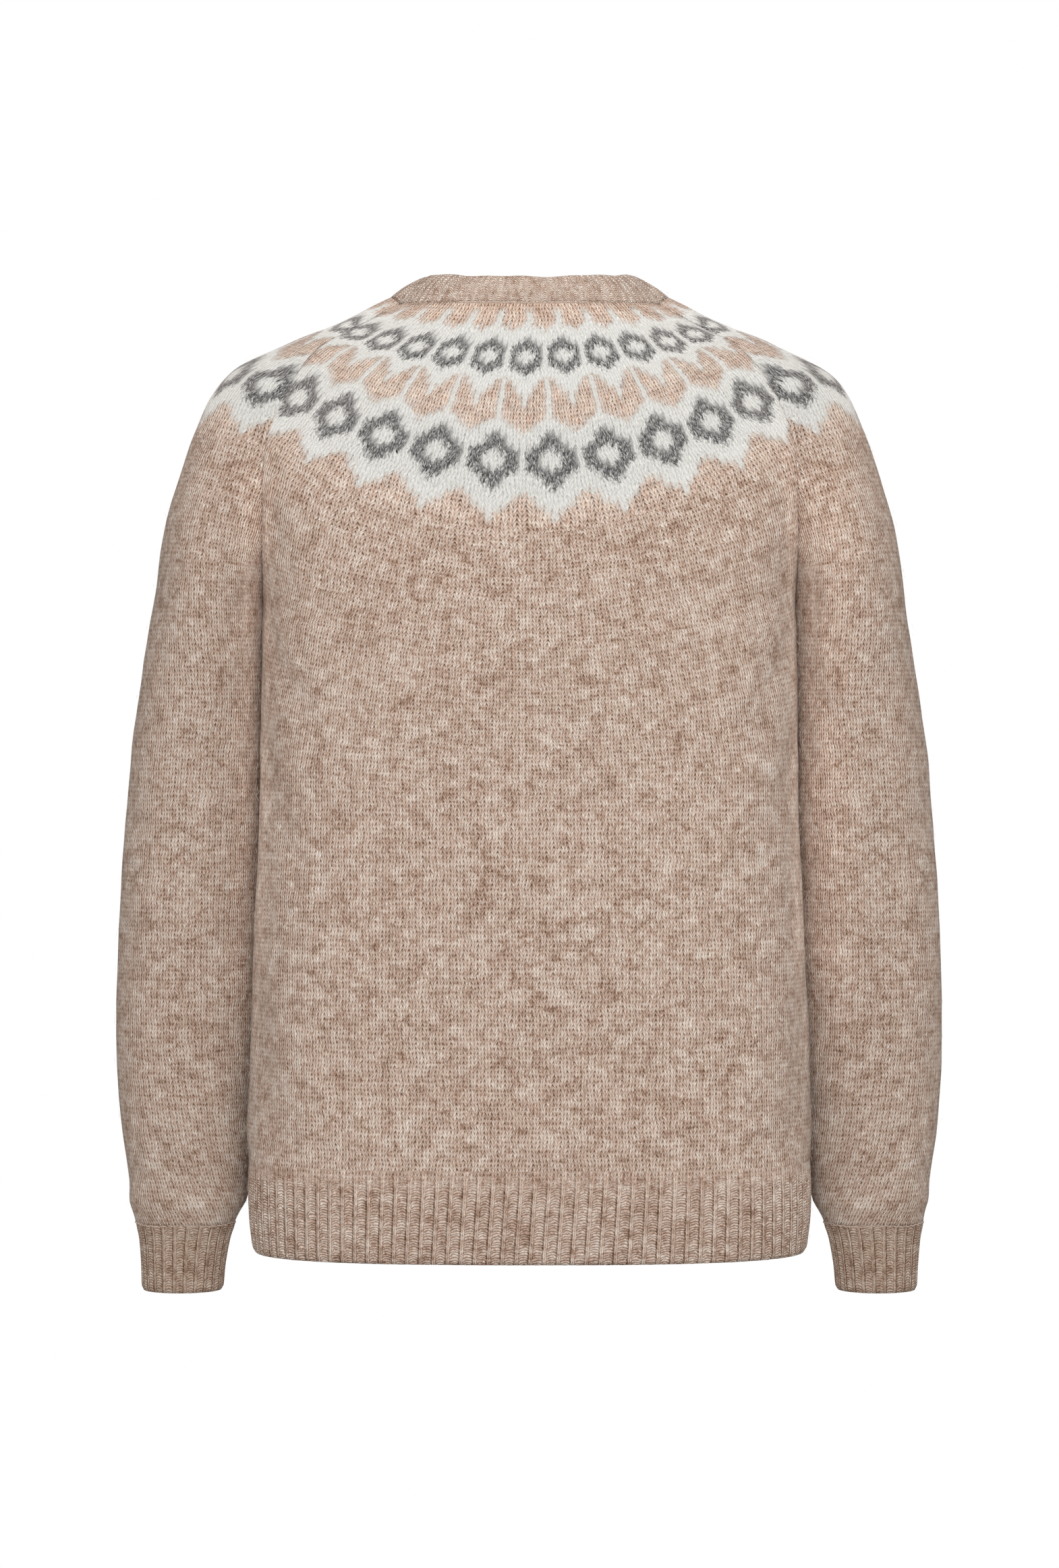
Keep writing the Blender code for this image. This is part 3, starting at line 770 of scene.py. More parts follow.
def spunYarn(name, light, dark):
    # Loose strands of the same yarn, for the linked seams: matt, with twist lines 0.7 mm apart
    material, add, shader = startMaterial(name, 0.9, 0.1, 0.5, specular=0.2)
    twist = add("TexNoise", add("TexCoord").outputs["Object"], 1400.0, 2.0)
    feed(shader, "Base Color", setRamp(add("ValToRGB", twist), ((0.3, dark), (0.65, light))))
    feed(shader, "Normal", add("Bump", 0.6, 0.0002, None, twist))
    return material


def strayFibre():
    # Single mohair hairs that stand out of the brushed face: a little gloss along each
    material, add, shader = startMaterial("strayFibre", 0.6, specular=0.4)
    tint = add("ValToRGB", add("NewGeometry").outputs["Random Per Island"])
    stops = ((0.0, "8f7666"), (0.12, "b89f8e"), (0.45, "d2bfb1"), (1.0, "e6ddd4"))
    feed(shader, "Base Color", setRamp(tint, stops))
    return material


def turnedResin():
    # Cast polyester made to look like horn, turned and tumbled: cloudy brown with a soft polish
    material, add, shader = startMaterial("turnedResin", 0.32, ior=1.54)
    place = add("TexCoord").outputs["Object"]
    stretched = add("Mapping", place, None, None, (1.0, 1.0, 0.35))
    cloud = add("TexNoise", stretched, 190.0, 5.0, None, None, 1.4)  # clouds about 5 mm across
    scuff = add("TexNoise", place, 900.0, 4.0)  # tumbling marks about 1 mm apart
    stops = ((0.3, "2c1a10"), (0.52, "5a3a24"), (0.75, "8c6442"))
    feed(shader, "Base Color", setRamp(add("ValToRGB", cloud), stops))
    feed(shader, "Roughness", add("MapRange", scuff, 0.3, 0.7, 0.26, 0.42))
    feed(shader, "Normal", add("Bump", 0.15, 0.0002, None, scuff))
    return material


def paintedFloor():
    # Matt white paint on a smooth floor: only a faint mottle
    material, add, shader = startMaterial("paintedFloor", 0.9, specular=0.2)
    mottle = add("TexNoise", add("TexCoord").outputs["Object"], 3.0, 4.0)
    feed(shader, "Base Color", setRamp(add("ValToRGB", mottle), ((0.3, "dededc"), (0.7, "e6e6e4"))))
    return material


plainKnit = brushedStockinette()
# the tints darken and warm the hem and cuff ribs; their darkening is painted shade of the lower edges
hemRib = ribbedStockinette("hemRib", 0.28, 3.0, (0.90, 0.88, 0.87))
cuffRib = ribbedStockinette("cuffRib", 0.28, tint=(0.77, 0.73, 0.69))
bandRib = ribbedStockinette("bandRib", 0.34)
foldedPurl = ribbedStockinette("foldedPurl", 0.0, tint=(0.97, 0.98, 0.98))
seamYarn = spunYarn("seamYarn", "d8c6b8", "a48c7b")
print("materials made")

# the rib at the lower edge of the back and the fronts
hem = {
    "ribWidth": 8.8,
    "split": 8,
    "ribRise": 1.0,
    "start": (16.0, 0.0),  # the ribs' length of rising, and their least share of it
    "end": 5.0,
    "roll": 1.2,
    "lean": 0.07,
    "puff": (-540.0, 0.8, 16.0),  # level, height and width of the fullness above the rib
    "seam": (1.5, 2.6),  # depth and width
}
# Soft creases: from, to, width, depth. The sides pull towards the underarms.
backCreases = [
    ((176, 20, -400), (150, 84, -590), 24, 4.0),
    ((-176, 20, -420), (-152, 82, -590), 24, 3.4),
    ((168, 60, -150), (150, 96, -250), 9, 1.8),
    ((170, 40, -205), (140, 100, -290), 11, 2.2),
    ((-168, 60, -155), (-152, 94, -240), 9, 1.5),
    ((-170, 42, -208), (-138, 102, -300), 12, 1.9),
    ((172, 30, -260), (150, 88, -380), 13, 1.6),
    ((-172, 30, -270), (-155, 84, -360), 12, 1.3),
    ((176, 20, -520), (120, 110, -556), 14, 1.6),
    ((-176, 20, -515), (-130, 104, -556), 14, 1.4),
    ((60, 118, -470), (90, 116, -552), 16, 0.9),
    ((-80, 117, -480), (-60, 118, -552), 16, 0.9),
]
frontCreases = [
    ((166, -60, -170), (140, -100, -265), 10, 1.9),
    ((170, -40, -212), (130, -112, -310), 12, 2.1),
    ((-166, -60, -168), (-144, -98, -260), 10, 1.7),
    ((-170, -40, -210), (-128, -112, -318), 12, 2.0),
    ((176, -24, -500), (120, -112, -552), 15, 1.6),
    ((-176, -24, -505), (-116, -114, -552), 15, 1.5),
    ((24, -128, -300), (34, -124, -400), 14, 0.8),
]


def yokeRows():
    # one row falls exactly on the yoke's end
    rows = list(np.linspace(0, underarm, 64))
    rows[int(np.argmin(abs(np.array(rows) - yokeEnd)))] = float(yokeEnd)
    return rows


def rowsFrom(first, counts):
    # so many rows down to each next level of the table
    rows = []
    for level, count in enumerate(counts, first):
        rows += list(np.linspace(level, level + 1, count + 1))[1:]
    return rows


def laidOut(lineAt, rows, columns):
    lines, runs = zip(*(lineAt(row, columns) for row in rows))
    return np.array(lines), np.array(runs)


def dressTorso(name, lineAt, columns, flip, creases, seed):
    # plain cloth first, then the rib with finer columns, in one skin
    isBack = name == "back_knit"
    plainRows = yokeRows() + rowsFrom(underarm, (24, 27, 25))
    grid, run = laidOut(lineAt, plainRows, columns)
    courses = coursesOf(grid, plainRows, levelRow)
    drift = atDepths(chartDrift, plainRows)[:, None] * isBack
    repeats = (run - drift) / atDepths(repeatWidth, plainRows)[:, None]
    fineColumns = columns * hem["split"]
    ribGrid, ribRun = laidOut(lineAt, [float(ribTop)] + rowsFrom(ribTop, (12, 9)), fineColumns)
    ribCourses = lengthsAlong(ribGrid[:, fineColumns // 2])[:, None] / form["course"]
    ribCourses = np.repeat(ribCourses, ribGrid.shape[1], axis=1)
    drop = lengthsAlong(ribGrid[:, 0])[:, None]
    ribTurns = (ribRun - hem["lean"] * drop * np.cos(ribRun / 90.0)) / hem["ribWidth"]
    # the plain cloth grows calmer towards the rib, and dips where a panel is sewn to its neighbour
    waves = ((1.3, 70.0, seed), (0.5, 24.0, seed + 9))
    lift = wornLift(grid, grid, creases, columns // 2, waves, hem["puff"])
    below = np.clip((grid[..., 2] - grid[-1, :, 2].mean()) / 16.0, 0, 1)
    lift = lift * (0.25 + 0.75 * below) + seamShape(awayFromEdge(run, isBack), plainRows)
    grid = grid + normalsOf(grid, flip) * lift[..., None]
    depth, width = hem["seam"]
    lift = ribLift(drop, ribTurns, hem) + 0.5 * unevenness(ribGrid, 60.0, seed + 3)
    lift = lift - depth * bell(awayFromEdge(ribRun, isBack), width)
    ribGrid = ribGrid + normalsOf(ribGrid, flip) * lift[..., None]
    seamPlace = (ribRun[0] - drift[-1]) / atDepths(repeatWidth, [ribTop])[0]
    seamPlace = np.stack([seamPlace, np.full(len(seamPlace), courses[-1].mean())], axis=1)
    rows = withPlaces(grid[:-1], repeats, courses)
    ribs = withPlaces(ribGrid, ribTurns, ribCourses)
    rows += [(line, seamPlace, places) for line, places, _ in ribs]
    return buildSheet(name, rows, flip, (plainKnit, hemRib), ribFrom=len(plainRows) - 1)


def backLine(row, columns):
    return mirrored(*evenly(torsoHalf(row, 1), columns // 2))


def frontLineOf(side):
    def lineAt(row, columns):
        half = torsoHalf(row, -1)
        cut = float(np.interp(form["bandWidth"] / 2 - 1.0, half[:, 0], lengthsAlong(half)))
        line, run = evenly(half, columns, start=cut)
        line = line * (side, 1, 1)
        return (lapped(line, row) if side < 0 else line), run

    return lineAt


back = dressTorso("back_knit", backLine, 104, True, backCreases, 1.0)
leftFront = dressTorso("left_front_knit", frontLineOf(1), 50, False, frontCreases, 21.0)
rightFront = dressTorso("right_front_knit", frontLineOf(-1), 50, True, frontCreases, 41.0)
print("panels knitted")

# below the underarm the cap's rows go on as rings down the arm
sleeveRows = capRows + [
    Section(ring.outerX, ring.z, ring.middleY, *(ring.innerX, ring.z, 180, ring.depth) * 2)
    for ring in armRings
]
sleeveCreases = [
    ((182, 34, -190), (232, 40, -262), 10, 2.2),
    ((180, 26, -240), (236, 26, -318), 12, 2.4),
    ((186, -50, -190), (236, -58, -280), 11, 2.2),
    ((262, -8, -330), (214, 24, -382), 12, 1.6),
    ((184, -10, -400), (240, 12, -444), 13, 1.8),
    ((270, -30, -470), (220, 6, -500), 12, 1.4),
    ((184, -30, -520), (246, 4, -556), 13, 2.0),
    ((262, -30, -566), (206, -4, -586), 9, 1.6),
    ((190, -62, -560), (248, -84, -584), 10, 1.6),
    ((196, -86, -420), (258, -74, -470), 13, 1.5),
    ((196, -84, -320), (256, -72, -366), 13, 1.6),
]
sleeve = {"columns": 36, "levelRow": 8, "stitchWidth": 0.97, "puff": (-590.0, 1.5, 9.0)}
cuff = {"ribs": 24, "split": 12, "rows": 20, "ribRise": 1.0, "start": (4.0, 0.1), "end": 4.0, "roll": 1.0}


def dressSleeve(name, side, seed):
    rows = yokeRows() + rowsFrom(underarm, (17, 15, 15, 15, 12, 9, 6))
    ringFrom = rows.index(underarm)

    def lineAt(row, columns):
        section = blendRows(sleeveRows, row)
        backPart, backRun = evenly(sleeveHalf(section, 1), columns)
        frontPart, frontRun = evenly(sleeveHalf(section, -1), columns)
        line = np.concatenate([backPart[:0:-1], frontPart]) * (side, 1, 1)
        return line, np.concatenate([-backRun[:0:-1], frontRun])

    grid, run = laidOut(lineAt, rows, sleeve["columns"])
    courses = coursesOf(grid, rows, sleeve["levelRow"])
    repeats = run / (sleeve["stitchWidth"] * atDepths(repeatWidth, rows)[:, None])
    flip = side > 0
    waves = ((1.5, 60.0, seed), (0.5, 22.0, seed + 5))
    placed = grid * (side, 1, 1)
    lift = wornLift(grid, placed, sleeveCreases, sleeve["columns"], waves, sleeve["puff"])
    end = np.clip((grid[..., 2] - armRings[-1].z) / 14.0, 0, 1)
    lift = lift * end + seamShape(awayFromEdge(run), rows)
    grid = grid + normalsOf(grid, flip, ringFrom) * lift[..., None]
    return buildSheet(name, withPlaces(grid, repeats, courses), flip, (plainKnit,), ringFrom=ringFrom)


def ringLine(ring, side, columns):
    angle = np.linspace(0, 2 * math.pi, columns + 1)
    middle = (ring.outerX + ring.innerX) / 2
    reach = (ring.outerX - ring.innerX) / 2
    x = side * (middle - reach * np.cos(angle))
    y = ring.middleY + ring.depth * np.sin(angle)
    return np.stack([x, y, np.full_like(x, ring.z)], axis=1)


def dressCuff(name, side, seed):
    columns = cuff["ribs"] * cuff["split"]
    marks = np.linspace(0, len(cuffRings) - 1, cuff["rows"])
    grid = np.array([ringLine(blendRows(cuffRings, mark), side, columns) for mark in marks])
    flip = side > 0
    drop = lengthsAlong(grid[:, 0])[:, None]
    turns = np.linspace(0, cuff["ribs"], columns + 1)[None, :] + 0.0 * drop
    wander = unevenness(grid, 40.0, seed)
    wander[:, -1] = wander[:, 0]
    lift = ribLift(drop, turns, cuff) + 0.6 * wander
    grid = grid + normalsOf(grid, flip, 0) * lift[..., None]
    rows = withPlaces(grid, turns, drop / form["course"] + 0.0 * turns)
    return buildSheet(name, rows, flip, (cuffRib,), ringFrom=0)


leftSleeve = dressSleeve("left_sleeve_knit", 1, 61.0)
rightSleeve = dressSleeve("right_sleeve_knit", -1, 81.0)
leftCuff = dressCuff("left_cuff_rib", 1, 5.0)
rightCuff = dressCuff("right_cuff_rib", -1, 15.0)
print("sleeves knitted")

# the neckband, folded double
collar = {
    "thick": 3.4,
    "height": 24.0,
    "column": 1.6,
    "strokes": 5.0,  # width of one run of purl arcs
    # creases of the fold, as distances from the centre back; the rest are spaced alike round to the front
    "creases": (-96.0, -81.0, -66.0, -50.0, -34.4, -21.0, -7.1, 5.4, 17.1, 27.5, 45.0, 61.0, 74.0, 90.0),
    "more": (-150.0, -136.0, -122.0, -109.0, 104.0, 118.0, 131.0, 147.0, 163.0),
    "deepWithin": 40.0,
    # the section of the fold: share of the height, and share of the thickness
    "outside": (0.0, 0.12, 0.25, 0.4, 0.55, 0.7),
    "edge": ((0.84, 0.48), (0.94, 0.38), (1.0, 0.15), (1.0, -0.15), (0.94, -0.38), (0.84, -0.48)),
    "inside": ((0.6, -0.5), (0.3, -0.5), (0.05, -0.5), (-0.02, 0.0)),
}


def outwardFrom(ring):
    return ring * (1, 1, 0) / np.linalg.norm(ring[:, :2], axis=1, keepdims=True)


def neckRing(clear):
    # the neck seam, over the shoulders from one side of the front opening to the other
    cap = capRows[0]
    over = np.concatenate([sleeveHalf(cap, 1)[::-1], sleeveHalf(cap, -1)[1:]])
    half = np.concatenate([torsoHalf(0, 1), over[1:], torsoHalf(0, -1)[::-1][1:]])
    half = half[: np.nonzero(half[:, 0] > clear)[0][-1] + 1]
    return mirrored(*evenly(half, int(lengthsAlong(half)[-1] / collar["column"])))


def dressNeckband():
    # folded double: up the outside, over a soft round edge and down the inside
    clear = form["bandWidth"] / 2 - 1.0
    ring, run = neckRing(clear)
    profile = [(height, 0.5) for height in collar["outside"]] + [*collar["edge"], *collar["inside"]]
    turns = run / collar["strokes"]
    pinch = sum(
        (1.3 if abs(place) < collar["deepWithin"] else 0.5) * bell(run - place, 0.95)
        for place in collar["creases"] + collar["more"]
    )
    outward = outwardFrom(ring)
    wave = 0.35 * np.sin(run / 6.1 + 0.7) + 0.25 * np.sin(run / 3.7)
    lines = []
    places = []
    for height, offset in profile:
        line = np.array([neckbandPoint(point, height) for point in ring])
        line[:, 2] += 0.35 * height * (np.sin(run / 9.3) + 0.6 * np.sin(run / 4.9 + 1.0)) * (height > 0.8)
        line[[0, -1], 0] = (-clear, clear)
        line = lapped(line, -max(height, 0.0))
        isOutside = 1.0 if offset > 0 else 0.0
        shape = isOutside * (wave * height - pinch * math.sin(math.pi * min(1.0, height * 0.9 + 0.12)))
        push = (offset - 0.5) * collar["thick"] + shape
        courses = (1.0 - height) * collar["height"] / form["course"] + (0 if offset > 0 else 20)
        lines.append(line + outward * push[:, None])
        places.append(np.stack([turns, np.full_like(run, courses)], axis=1))
    count, width = len(lines), len(ring)
    strips = [
        ((i, j), (i, j + 1), ((i + 1) % count, j + 1), ((i + 1) % count, j))
        for i in range(count)
        for j in range(width - 1)
    ]
    strips += [[(i, j) for i in range(count)][::order] for j, order in ((0, 1), (width - 1, -1))]
    faces = [[i * width + j for i, j in strip] for strip in strips]
    corners = [places[i][j] for strip in strips for i, j in strip]
    return addMesh("neckband_rib", np.concatenate(lines), faces, (foldedPurl,), corners)


neckband = dressNeckband()
print("neckband folded")

# the front bands, and where the buttons sit on them
frontBand = {
    "ribWidth": 6.0,
    "rise": 0.7,
    "slit": 16.0,
    "count": 8,
    "fromTop": 10.5,
    "fromHem": 20.0,
    "columns": (-10.0, -8.0, -5.0, -2.5, 0, 2.5, 5.0, 8.0, 10.0),
    "edgeColumns": (0.0, 0.8, 2.5),  # how far in from each edge
}
bandRows = np.concatenate([np.linspace(-1, 0, 12), np.linspace(0, hemRow, 300)[1:]])
bandRun = lengthsAlong(np.array([frontLine(row, np.zeros(1))[0] for row in bandRows]))
buttonPlaces = np.linspace(frontBand["fromTop"], bandRun[-1] - frontBand["fromHem"], frontBand["count"])


def dressBand(name, raised, holes):
    marks = np.append(np.arange(0, bandRun[-1], 1.0), bandRun[-1])
    half = form["bandWidth"] / 2 - 0.2
    edges = [half - inset for inset in frontBand["edgeColumns"]]
    columns = np.array([-edge for edge in edges] + list(frontBand["columns"]) + edges[::-1])
    edge = np.clip((half - abs(columns)) / 1.6, 0, 1)
    rows = []
    for mark in marks:
        row = float(np.interp(mark, bandRun, bandRows))
        turn = mark / frontBand["ribWidth"]
        rise = frontBand["rise"] * ribHeight(np.array([turn]))[0]
        endFade = min(1.0, mark / 3.0, (bandRun[-1] - mark) / 3.0)
        lift = raised + rise * edge * endFade - 0.9 * (1 - edge) ** 2 - 0.8 * (1 - endFade) ** 2
        line = frontLine(row, columns) + np.outer(lift, frontOutward(row))
        rows.append((line, np.stack([np.full_like(columns, turn), columns / form["course"]], axis=1), None))

    def isOpen(number, column):
        near = np.min(abs(buttonPlaces - (marks[number] + marks[number + 1]) / 2))
        inside = abs((columns[column] + columns[column + 1]) / 2) < frontBand["slit"] / 2
        return holes and near < 1.0 and inside

    return buildSheet(name, rows, False, (bandRib,), isOpen=isOpen)


buttonBand = dressBand("button_band_rib", 0.0, False)
buttonholeBand = dressBand("buttonhole_band_rib", form["bandLap"], True)

button = {
    # the turned outline, from the middle of the face round to the shank: reach, height
    "profile": [
        (0.0, 2.5), (2.0, 2.52), (4.2, 2.62), (5.2, 2.8), (5.7, 3.15), (6.3, 3.65), (7.0, 3.92),
        (7.7, 4.0), (8.3, 3.85), (8.75, 3.3), (9.0, 2.5), (8.95, 1.8), (8.5, 1.1), (7.6, 0.4), (6.6, 0.0),
        (1.1, 0.0), (1.1, -3.0), (0.0, -3.0),
    ],
    "holeRadius": 0.95,
    "holeSpacing": 4.4,
    "segments": 48,
    "thread": 0.3,
}


def buttonMesh(material):
    # turned round, then drilled with four holes
    count = button["segments"]
    (_, top), *turned, (_, bottom) = button["profile"]
    angles = [2 * math.pi * step / count for step in range(count)]
    points = [(0, 0, top)]
    points += [(reach * math.cos(a), reach * math.sin(a), height) for reach, height in turned for a in angles]
    points.append((0, 0, bottom))
    faces = [[0, 1 + step, 1 + (step + 1) % count] for step in range(count)]
    for ring in range(len(turned) - 1):
        for step in range(count):
            a = 1 + ring * count + step
            b = 1 + ring * count + (step + 1) % count
            faces.append([a, a + count, b + count, b])
    end = len(points) - 1
    base = end - count
    faces += [[base + step, end, base + (step + 1) % count] for step in range(count)]
    blank = addMesh("buttonBlank", points, faces, (material,))
    drills = []
    for x in (-1, 1):
        for y in (-1, 1):
            middle = np.array([x, y, 0]) * button["holeSpacing"] / 2
            drills.append(tubePath([middle + (0, 0, -9), middle + (0, 0, 9)], button["holeRadius"], 16))
    drill = joinTubes("buttonDrill", drills)
    cut = blank.modifiers.new("holes", "BOOLEAN")
    cut.operation = "DIFFERENCE"
    cut.object = drill
    bpy.context.view_layer.update()
    mesh = bpy.data.meshes.new_from_object(blank.evaluated_get(bpy.context.evaluated_depsgraph_get()))
    for spare in (blank, drill):
        bpy.data.objects.remove(spare, do_unlink=True)
    return mesh


def buttonFrame(row):
    # a button's own axes, where it is sewn on
    ends = frontLine(row, np.array([-9.5, 9.5])) + frontOutward(row) * (form["bandLap"] + 0.3)
    out = Vector(frontOutward(row))
    across = Vector((1, 0, 0))
    turn = Matrix((across, out.cross(across), out)).transposed().to_4x4()
    return Matrix.Translation(Vector(ends.mean(axis=0)) * 0.001) @ turn


def sewButtons():
    shared = buttonMesh(turnedResin())
    reach = button["holeSpacing"] / 2
    tubes = []
    for number, place in enumerate(buttonPlaces, 1):
        frameAt = buttonFrame(float(np.interp(place, bandRun, bandRows)))
        mesh = shared.copy()
        mesh.name = f"button_{number}_turned"
        # each button is sewn on at its own slight turn
        mesh.transform(frameAt @ Matrix.Rotation(math.radians((number * 37) % 11 - 5), 4, "Z"))
        mesh.shade_smooth()
        piece = addPiece(mesh.name, mesh)
        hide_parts(f"button_{number}")
        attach(piece, "root")
        for side in (-1, 1):
            for strand in (-0.32, 0.32):
                path = []
                for share in np.linspace(-1, 1, 9):
                    height = 2.6 + 0.75 * (1 - share**4) - (1.4 if abs(share) > 0.99 else 0)
                    local = Vector((share * reach, side * reach + strand, height)) * 0.001
                    path.append(np.array(frameAt @ local) * 1000)
                tubes.append(tubePath(path, button["thread"]))
    return joinTubes("button_threads", tubes, (spunYarn("sewingThread", "b59d8b", "8a715f"),))


def loose(piece):
    # yarn that is part of no panel
    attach(piece, "root")


loose(sewButtons())
print("bands and buttons on")

# the strands that link the neckband and the cuffs on
link = {"reach": 44.0, "middle": 4.0, "yarn": 0.3, "wave": 0.4, "pitch": 4.9, "knotYarn": 0.4}
cuffLink = {"ring": Ring(-604.9, 260.9, 194.7, -45.5, 33.2), "points": 240, "slack": 0.5, "waves": 5}


def seamStrand(path, outward, phase, closed):
    # one thin strand that wanders along a seam, half sunk between the stitches
    turn = 2 * math.pi * lengthsAlong(path) / link["pitch"] + phase
    across = unit(np.cross(np.gradient(path, axis=0), outward))
    line = path + across * (link["wave"] * np.sin(turn))[:, None] + outward * (0.15 * np.cos(turn))[:, None]
    return tubePath(line, link["yarn"], 5, closed=closed)


def neckStrands():
    ring, run = neckRing(form["bandWidth"] / 2 + 1.0)
    ring, _ = evenly(ring[abs(run - link["middle"]) < link["reach"]], 110)
    outward = unit(outwardFrom(ring) + (0, 0, 0.35))
    return [seamStrand(ring + outward * 0.25, outward, phase, False) for phase in (0.0, math.pi)]


def cuffStrand(side):
    ring, count = cuffLink["ring"], cuffLink["points"]
    line = ringLine(ring, side, count)[:-1]
    outward = unit(line - np.array([side * (ring.outerX + ring.innerX) / 2, ring.middleY, ring.z]))
    line[:, 2] += cuffLink["slack"] * np.sin(np.arange(count) * 2 * math.pi * cuffLink["waves"] / count)
    return seamStrand(line - outward * 0.1, outward, 0.0, True)


def seamKnots():
    # two darned-in ends where the sleeve meets the back, below the neck
    turn = np.linspace(0, 4 * math.pi, 20)
    tubes = []
    for side in (-1, 1):
        for row, size in ((2.15, 1.0), (2.35, 0.8)):
            centre = panelEdge(row, 1) * (side, 1, 1) + (0, 1.0, 1.0)
            loops = [size * np.cos(turn), 0.3 * np.sin(turn * 1.7), size * np.sin(turn) * 0.8]
            tubes.append(tubePath(centre + np.stack(loops, axis=1), link["knotYarn"], 5))
    return tubes


strands = neckStrands() + [cuffStrand(1), cuffStrand(-1)] + seamKnots()
loose(joinTubes("linked_seams", strands, (seamYarn,)))
print("seams linked")

# the nap
fuzz = {
    "count": 16000,
    "shortest": 2.0,
    "longest": 7.0,
    "half": 0.06,  # half the width. A mohair hair is about 0.03 mm thick, and is drawn wider to show
    "valley": 12.0,
    "more": 8.0,
    "steps": ((0.0, 1.0), (0.35, 0.9), (0.7, 0.65), (1.0, 0.25)),  # along the hair, and its width there
}


def valleyTree():
    # where the sleeves lie against the body
    points = [panelEdge(row, face) for row in np.linspace(2.5, underarm, 40) for face in (-1, 1)]
    for row in np.linspace(underarm, ribTop, 90):
        side = blendRows(sideRows, row - underarm)
        points += [np.array([side.x, y, side.z]) for y in (-60.0, -34.0, -8.0, 10.0)]
    tree = KDTree(2 * len(points))
    for number, point in enumerate(points + [point * (-1, 1, 1) for point in points]):
        tree.insert(point, number)
    tree.balance()
    return tree


def readFaces(pieces, name, size):
    # one value of every face, piece after piece
    found = []
    for piece in pieces:
        values = np.empty(len(piece.data.polygons) * size)
        piece.data.polygons.foreach_get(name, values)
        found.append(values.reshape(-1, size))
    return np.concatenate(found)


def strayHairs(pieces):
    # sparse, fine and curved, thickest over the knitted panels
    rng = np.random.default_rng(11)
    count = fuzz["count"]
    centres = readFaces(pieces, "center", 3) * 1000
    areas = readFaces(pieces, "area", 1)[:, 0]
    tree = valleyTree()
    near = np.array([tree.find(centre)[2] for centre in centres])
    weights = areas * (1 + fuzz["more"] * bell(near, fuzz["valley"]))
    chosen = rng.choice(len(areas), count, p=weights / weights.sum())
    root = centres[chosen] + rng.normal(0, 1.2, (count, 3))
    normal = readFaces(pieces, "normal", 3)[chosen]
    tangent = unit(np.cross(normal, rng.normal(0, 1, (count, 3))))
    lift = np.radians(rng.uniform(2, 12, count) + 12 * (near[chosen] < fuzz["valley"]))[:, None]
    lean = tangent * np.cos(lift) + normal * np.sin(lift)
    curl = np.cross(lean, normal) * rng.normal(0, 0.35, (count, 1)) - normal * 0.08
    length = rng.uniform(fuzz["shortest"], fuzz["longest"], (count, 1))
    length *= rng.uniform(0.4, 1.0, (count, 1))
    wide = unit(np.cross(lean, rng.normal(0, 1, (count, 3))))
    across = 2 * len(fuzz["steps"])
    points = np.empty((count, across, 3))
    for step, (share, thick) in enumerate(fuzz["steps"]):
        middle = root + length * (lean * share + curl * share**2) + normal * 0.2
        points[:, 2 * step] = middle - wide * thick * fuzz["half"]
        points[:, 2 * step + 1] = middle + wide * thick * fuzz["half"]
    corners = [a for hair in range(count) for a in range(hair * across, (hair + 1) * across - 2, 2)]
    faces = [[a, a + 1, a + 3, a + 2] for a in corners]
    return addMesh("stray_fibres", points.reshape(-1, 3), faces, (strayFibre(),))


loose(strayHairs([back, leftFront, rightFront, leftSleeve, rightSleeve, neckband]))
print("fibres brushed up")

# each sheet: piece, node, slot, width and length it was knitted to, area, how it is held, what it rests on
sheets = (
    (back, "back", "melange_knit", (0.496, 0.668), 0.279, "hung", ["left_sleeve_knit", "right_sleeve_knit"]),
    (leftFront, "left_front", "melange_knit", (0.236, 0.66), 0.125, "hung", ["left_sleeve_knit"]),
    (rightFront, "right_front", "melange_knit", (0.236, 0.66), 0.125, "hung", ["right_sleeve_knit"]),
    (leftSleeve, "left_sleeve", "melange_knit", (0.309, 0.686), 0.161, "hung", ["back_knit"]),
    (rightSleeve, "right_sleeve", "melange_knit", (0.309, 0.686), 0.161, "hung", ["back_knit"]),
    (leftCuff, "left_cuff", "ribbed_knit", (0.196, 0.045), 0.0078, "hung", ["left_sleeve_knit"]),
    (rightCuff, "right_cuff", "ribbed_knit", (0.196, 0.045), 0.0078, "hung", ["right_sleeve_knit"]),
    (neckband, "neckband", "ribbed_knit", (0.493, 0.026), 0.0097, "folded", ["back_knit"]),
    (buttonBand, "button_band", "ribbed_knit", (0.03, 0.58), None, "hung", ["left_front_knit"]),
    (buttonholeBand, "buttonhole_band", "ribbed_knit", (0.03, 0.583), None, "hung", ["right_front_knit"]),
)
for piece, node, slot, flat, area, held, restsOn in sheets:
    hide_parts(node)
    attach(piece, "root")

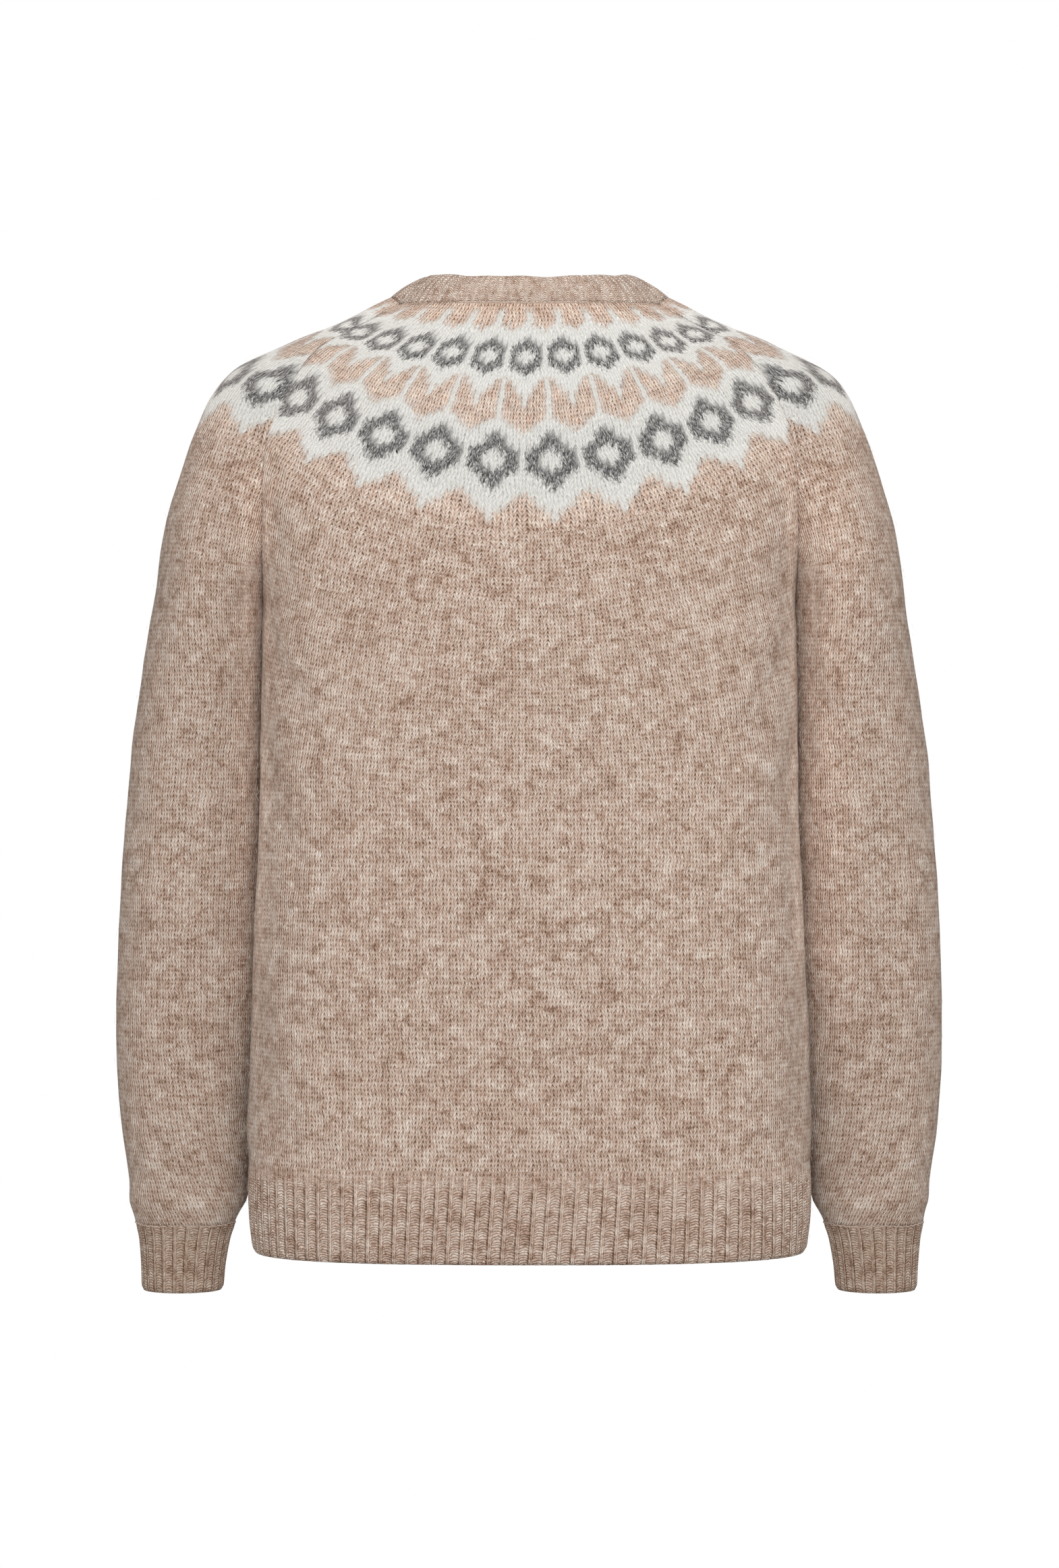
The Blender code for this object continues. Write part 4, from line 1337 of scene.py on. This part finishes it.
studio = {
    "floorZ": -1.4,
    "floorRadius": 3.1,
    "floorCorners": 96,
    "cameraDistance": 3.0,
    "cameraHeight": -0.315,
    "pictureHeight": 1.0226,
    "sensor": 36.0,
    "ambient": 0.47,
    "target": (0, 0, -0.3),
    # each lamp: power, place and size; a second one of each stands in front
    "lamps": {"Key": (65.0, (0.1, 3.6, 0.9), 1.3), "Top": (24.0, (-0.3, 1.9, 1.5), 1.0)},
}


def addFloor():
    radius = 1000 * studio["floorRadius"]
    count = studio["floorCorners"]
    angles = [2 * math.pi * i / count for i in range(count)]
    ring = [(radius * math.cos(a), radius * math.sin(a), 1000 * studio["floorZ"]) for a in angles]
    addMesh("studio_floor", ring, [list(range(count))], (paintedFloor(),))


def addSoftbox(name, power, place, size):
    lamp = bpy.data.lights.new(name, "AREA")
    lamp.shape = "DISK"
    lamp.size = size
    lamp.energy = power
    made = addPiece(name, lamp)
    made.location = place
    made.rotation_euler = (Vector(studio["target"]) - Vector(place)).to_track_quat("-Z", "Y").to_euler()


def addStudio():
    addFloor()
    scene = bpy.context.scene
    scene.world = bpy.data.worlds.new("softRoom")
    scene.world.use_nodes = True
    tree = scene.world.node_tree
    light = tree.nodes["Background"]
    feed(light, "Color", (1, 1, 1, 1))
    feed(light, "Strength", studio["ambient"])
    # what the camera sees behind the floor is plain white
    seen = addNode(tree, "Background", (1, 1, 1, 1), 1.0)
    toCamera = addNode(tree, "LightPath").outputs["Is Camera Ray"]
    feed(tree.nodes["World Output"], "Surface", addNode(tree, "MixShader", toCamera, light, seen))
    for name, side in (("back", 1), ("front", -1)):
        for kind, (power, place, size) in studio["lamps"].items():
            addSoftbox(name + kind, power, np.array([side, side, 1]) * place, size)
    camera = bpy.data.cameras.new("camera")
    camera.sensor_fit = "VERTICAL"
    camera.sensor_height = studio["sensor"]
    camera.lens = studio["sensor"] * studio["cameraDistance"] / studio["pictureHeight"]
    camera.clip_end = 50.0
    scene.camera = addPiece("camera", camera)
    scene.camera.location = (0, studio["cameraDistance"], studio["cameraHeight"])
    scene.camera.rotation_euler = (math.radians(90), 0, math.radians(180))
    scene.view_settings.view_transform = "Standard"
    scene.view_settings.look = "None"


addStudio()
print("studio lit")
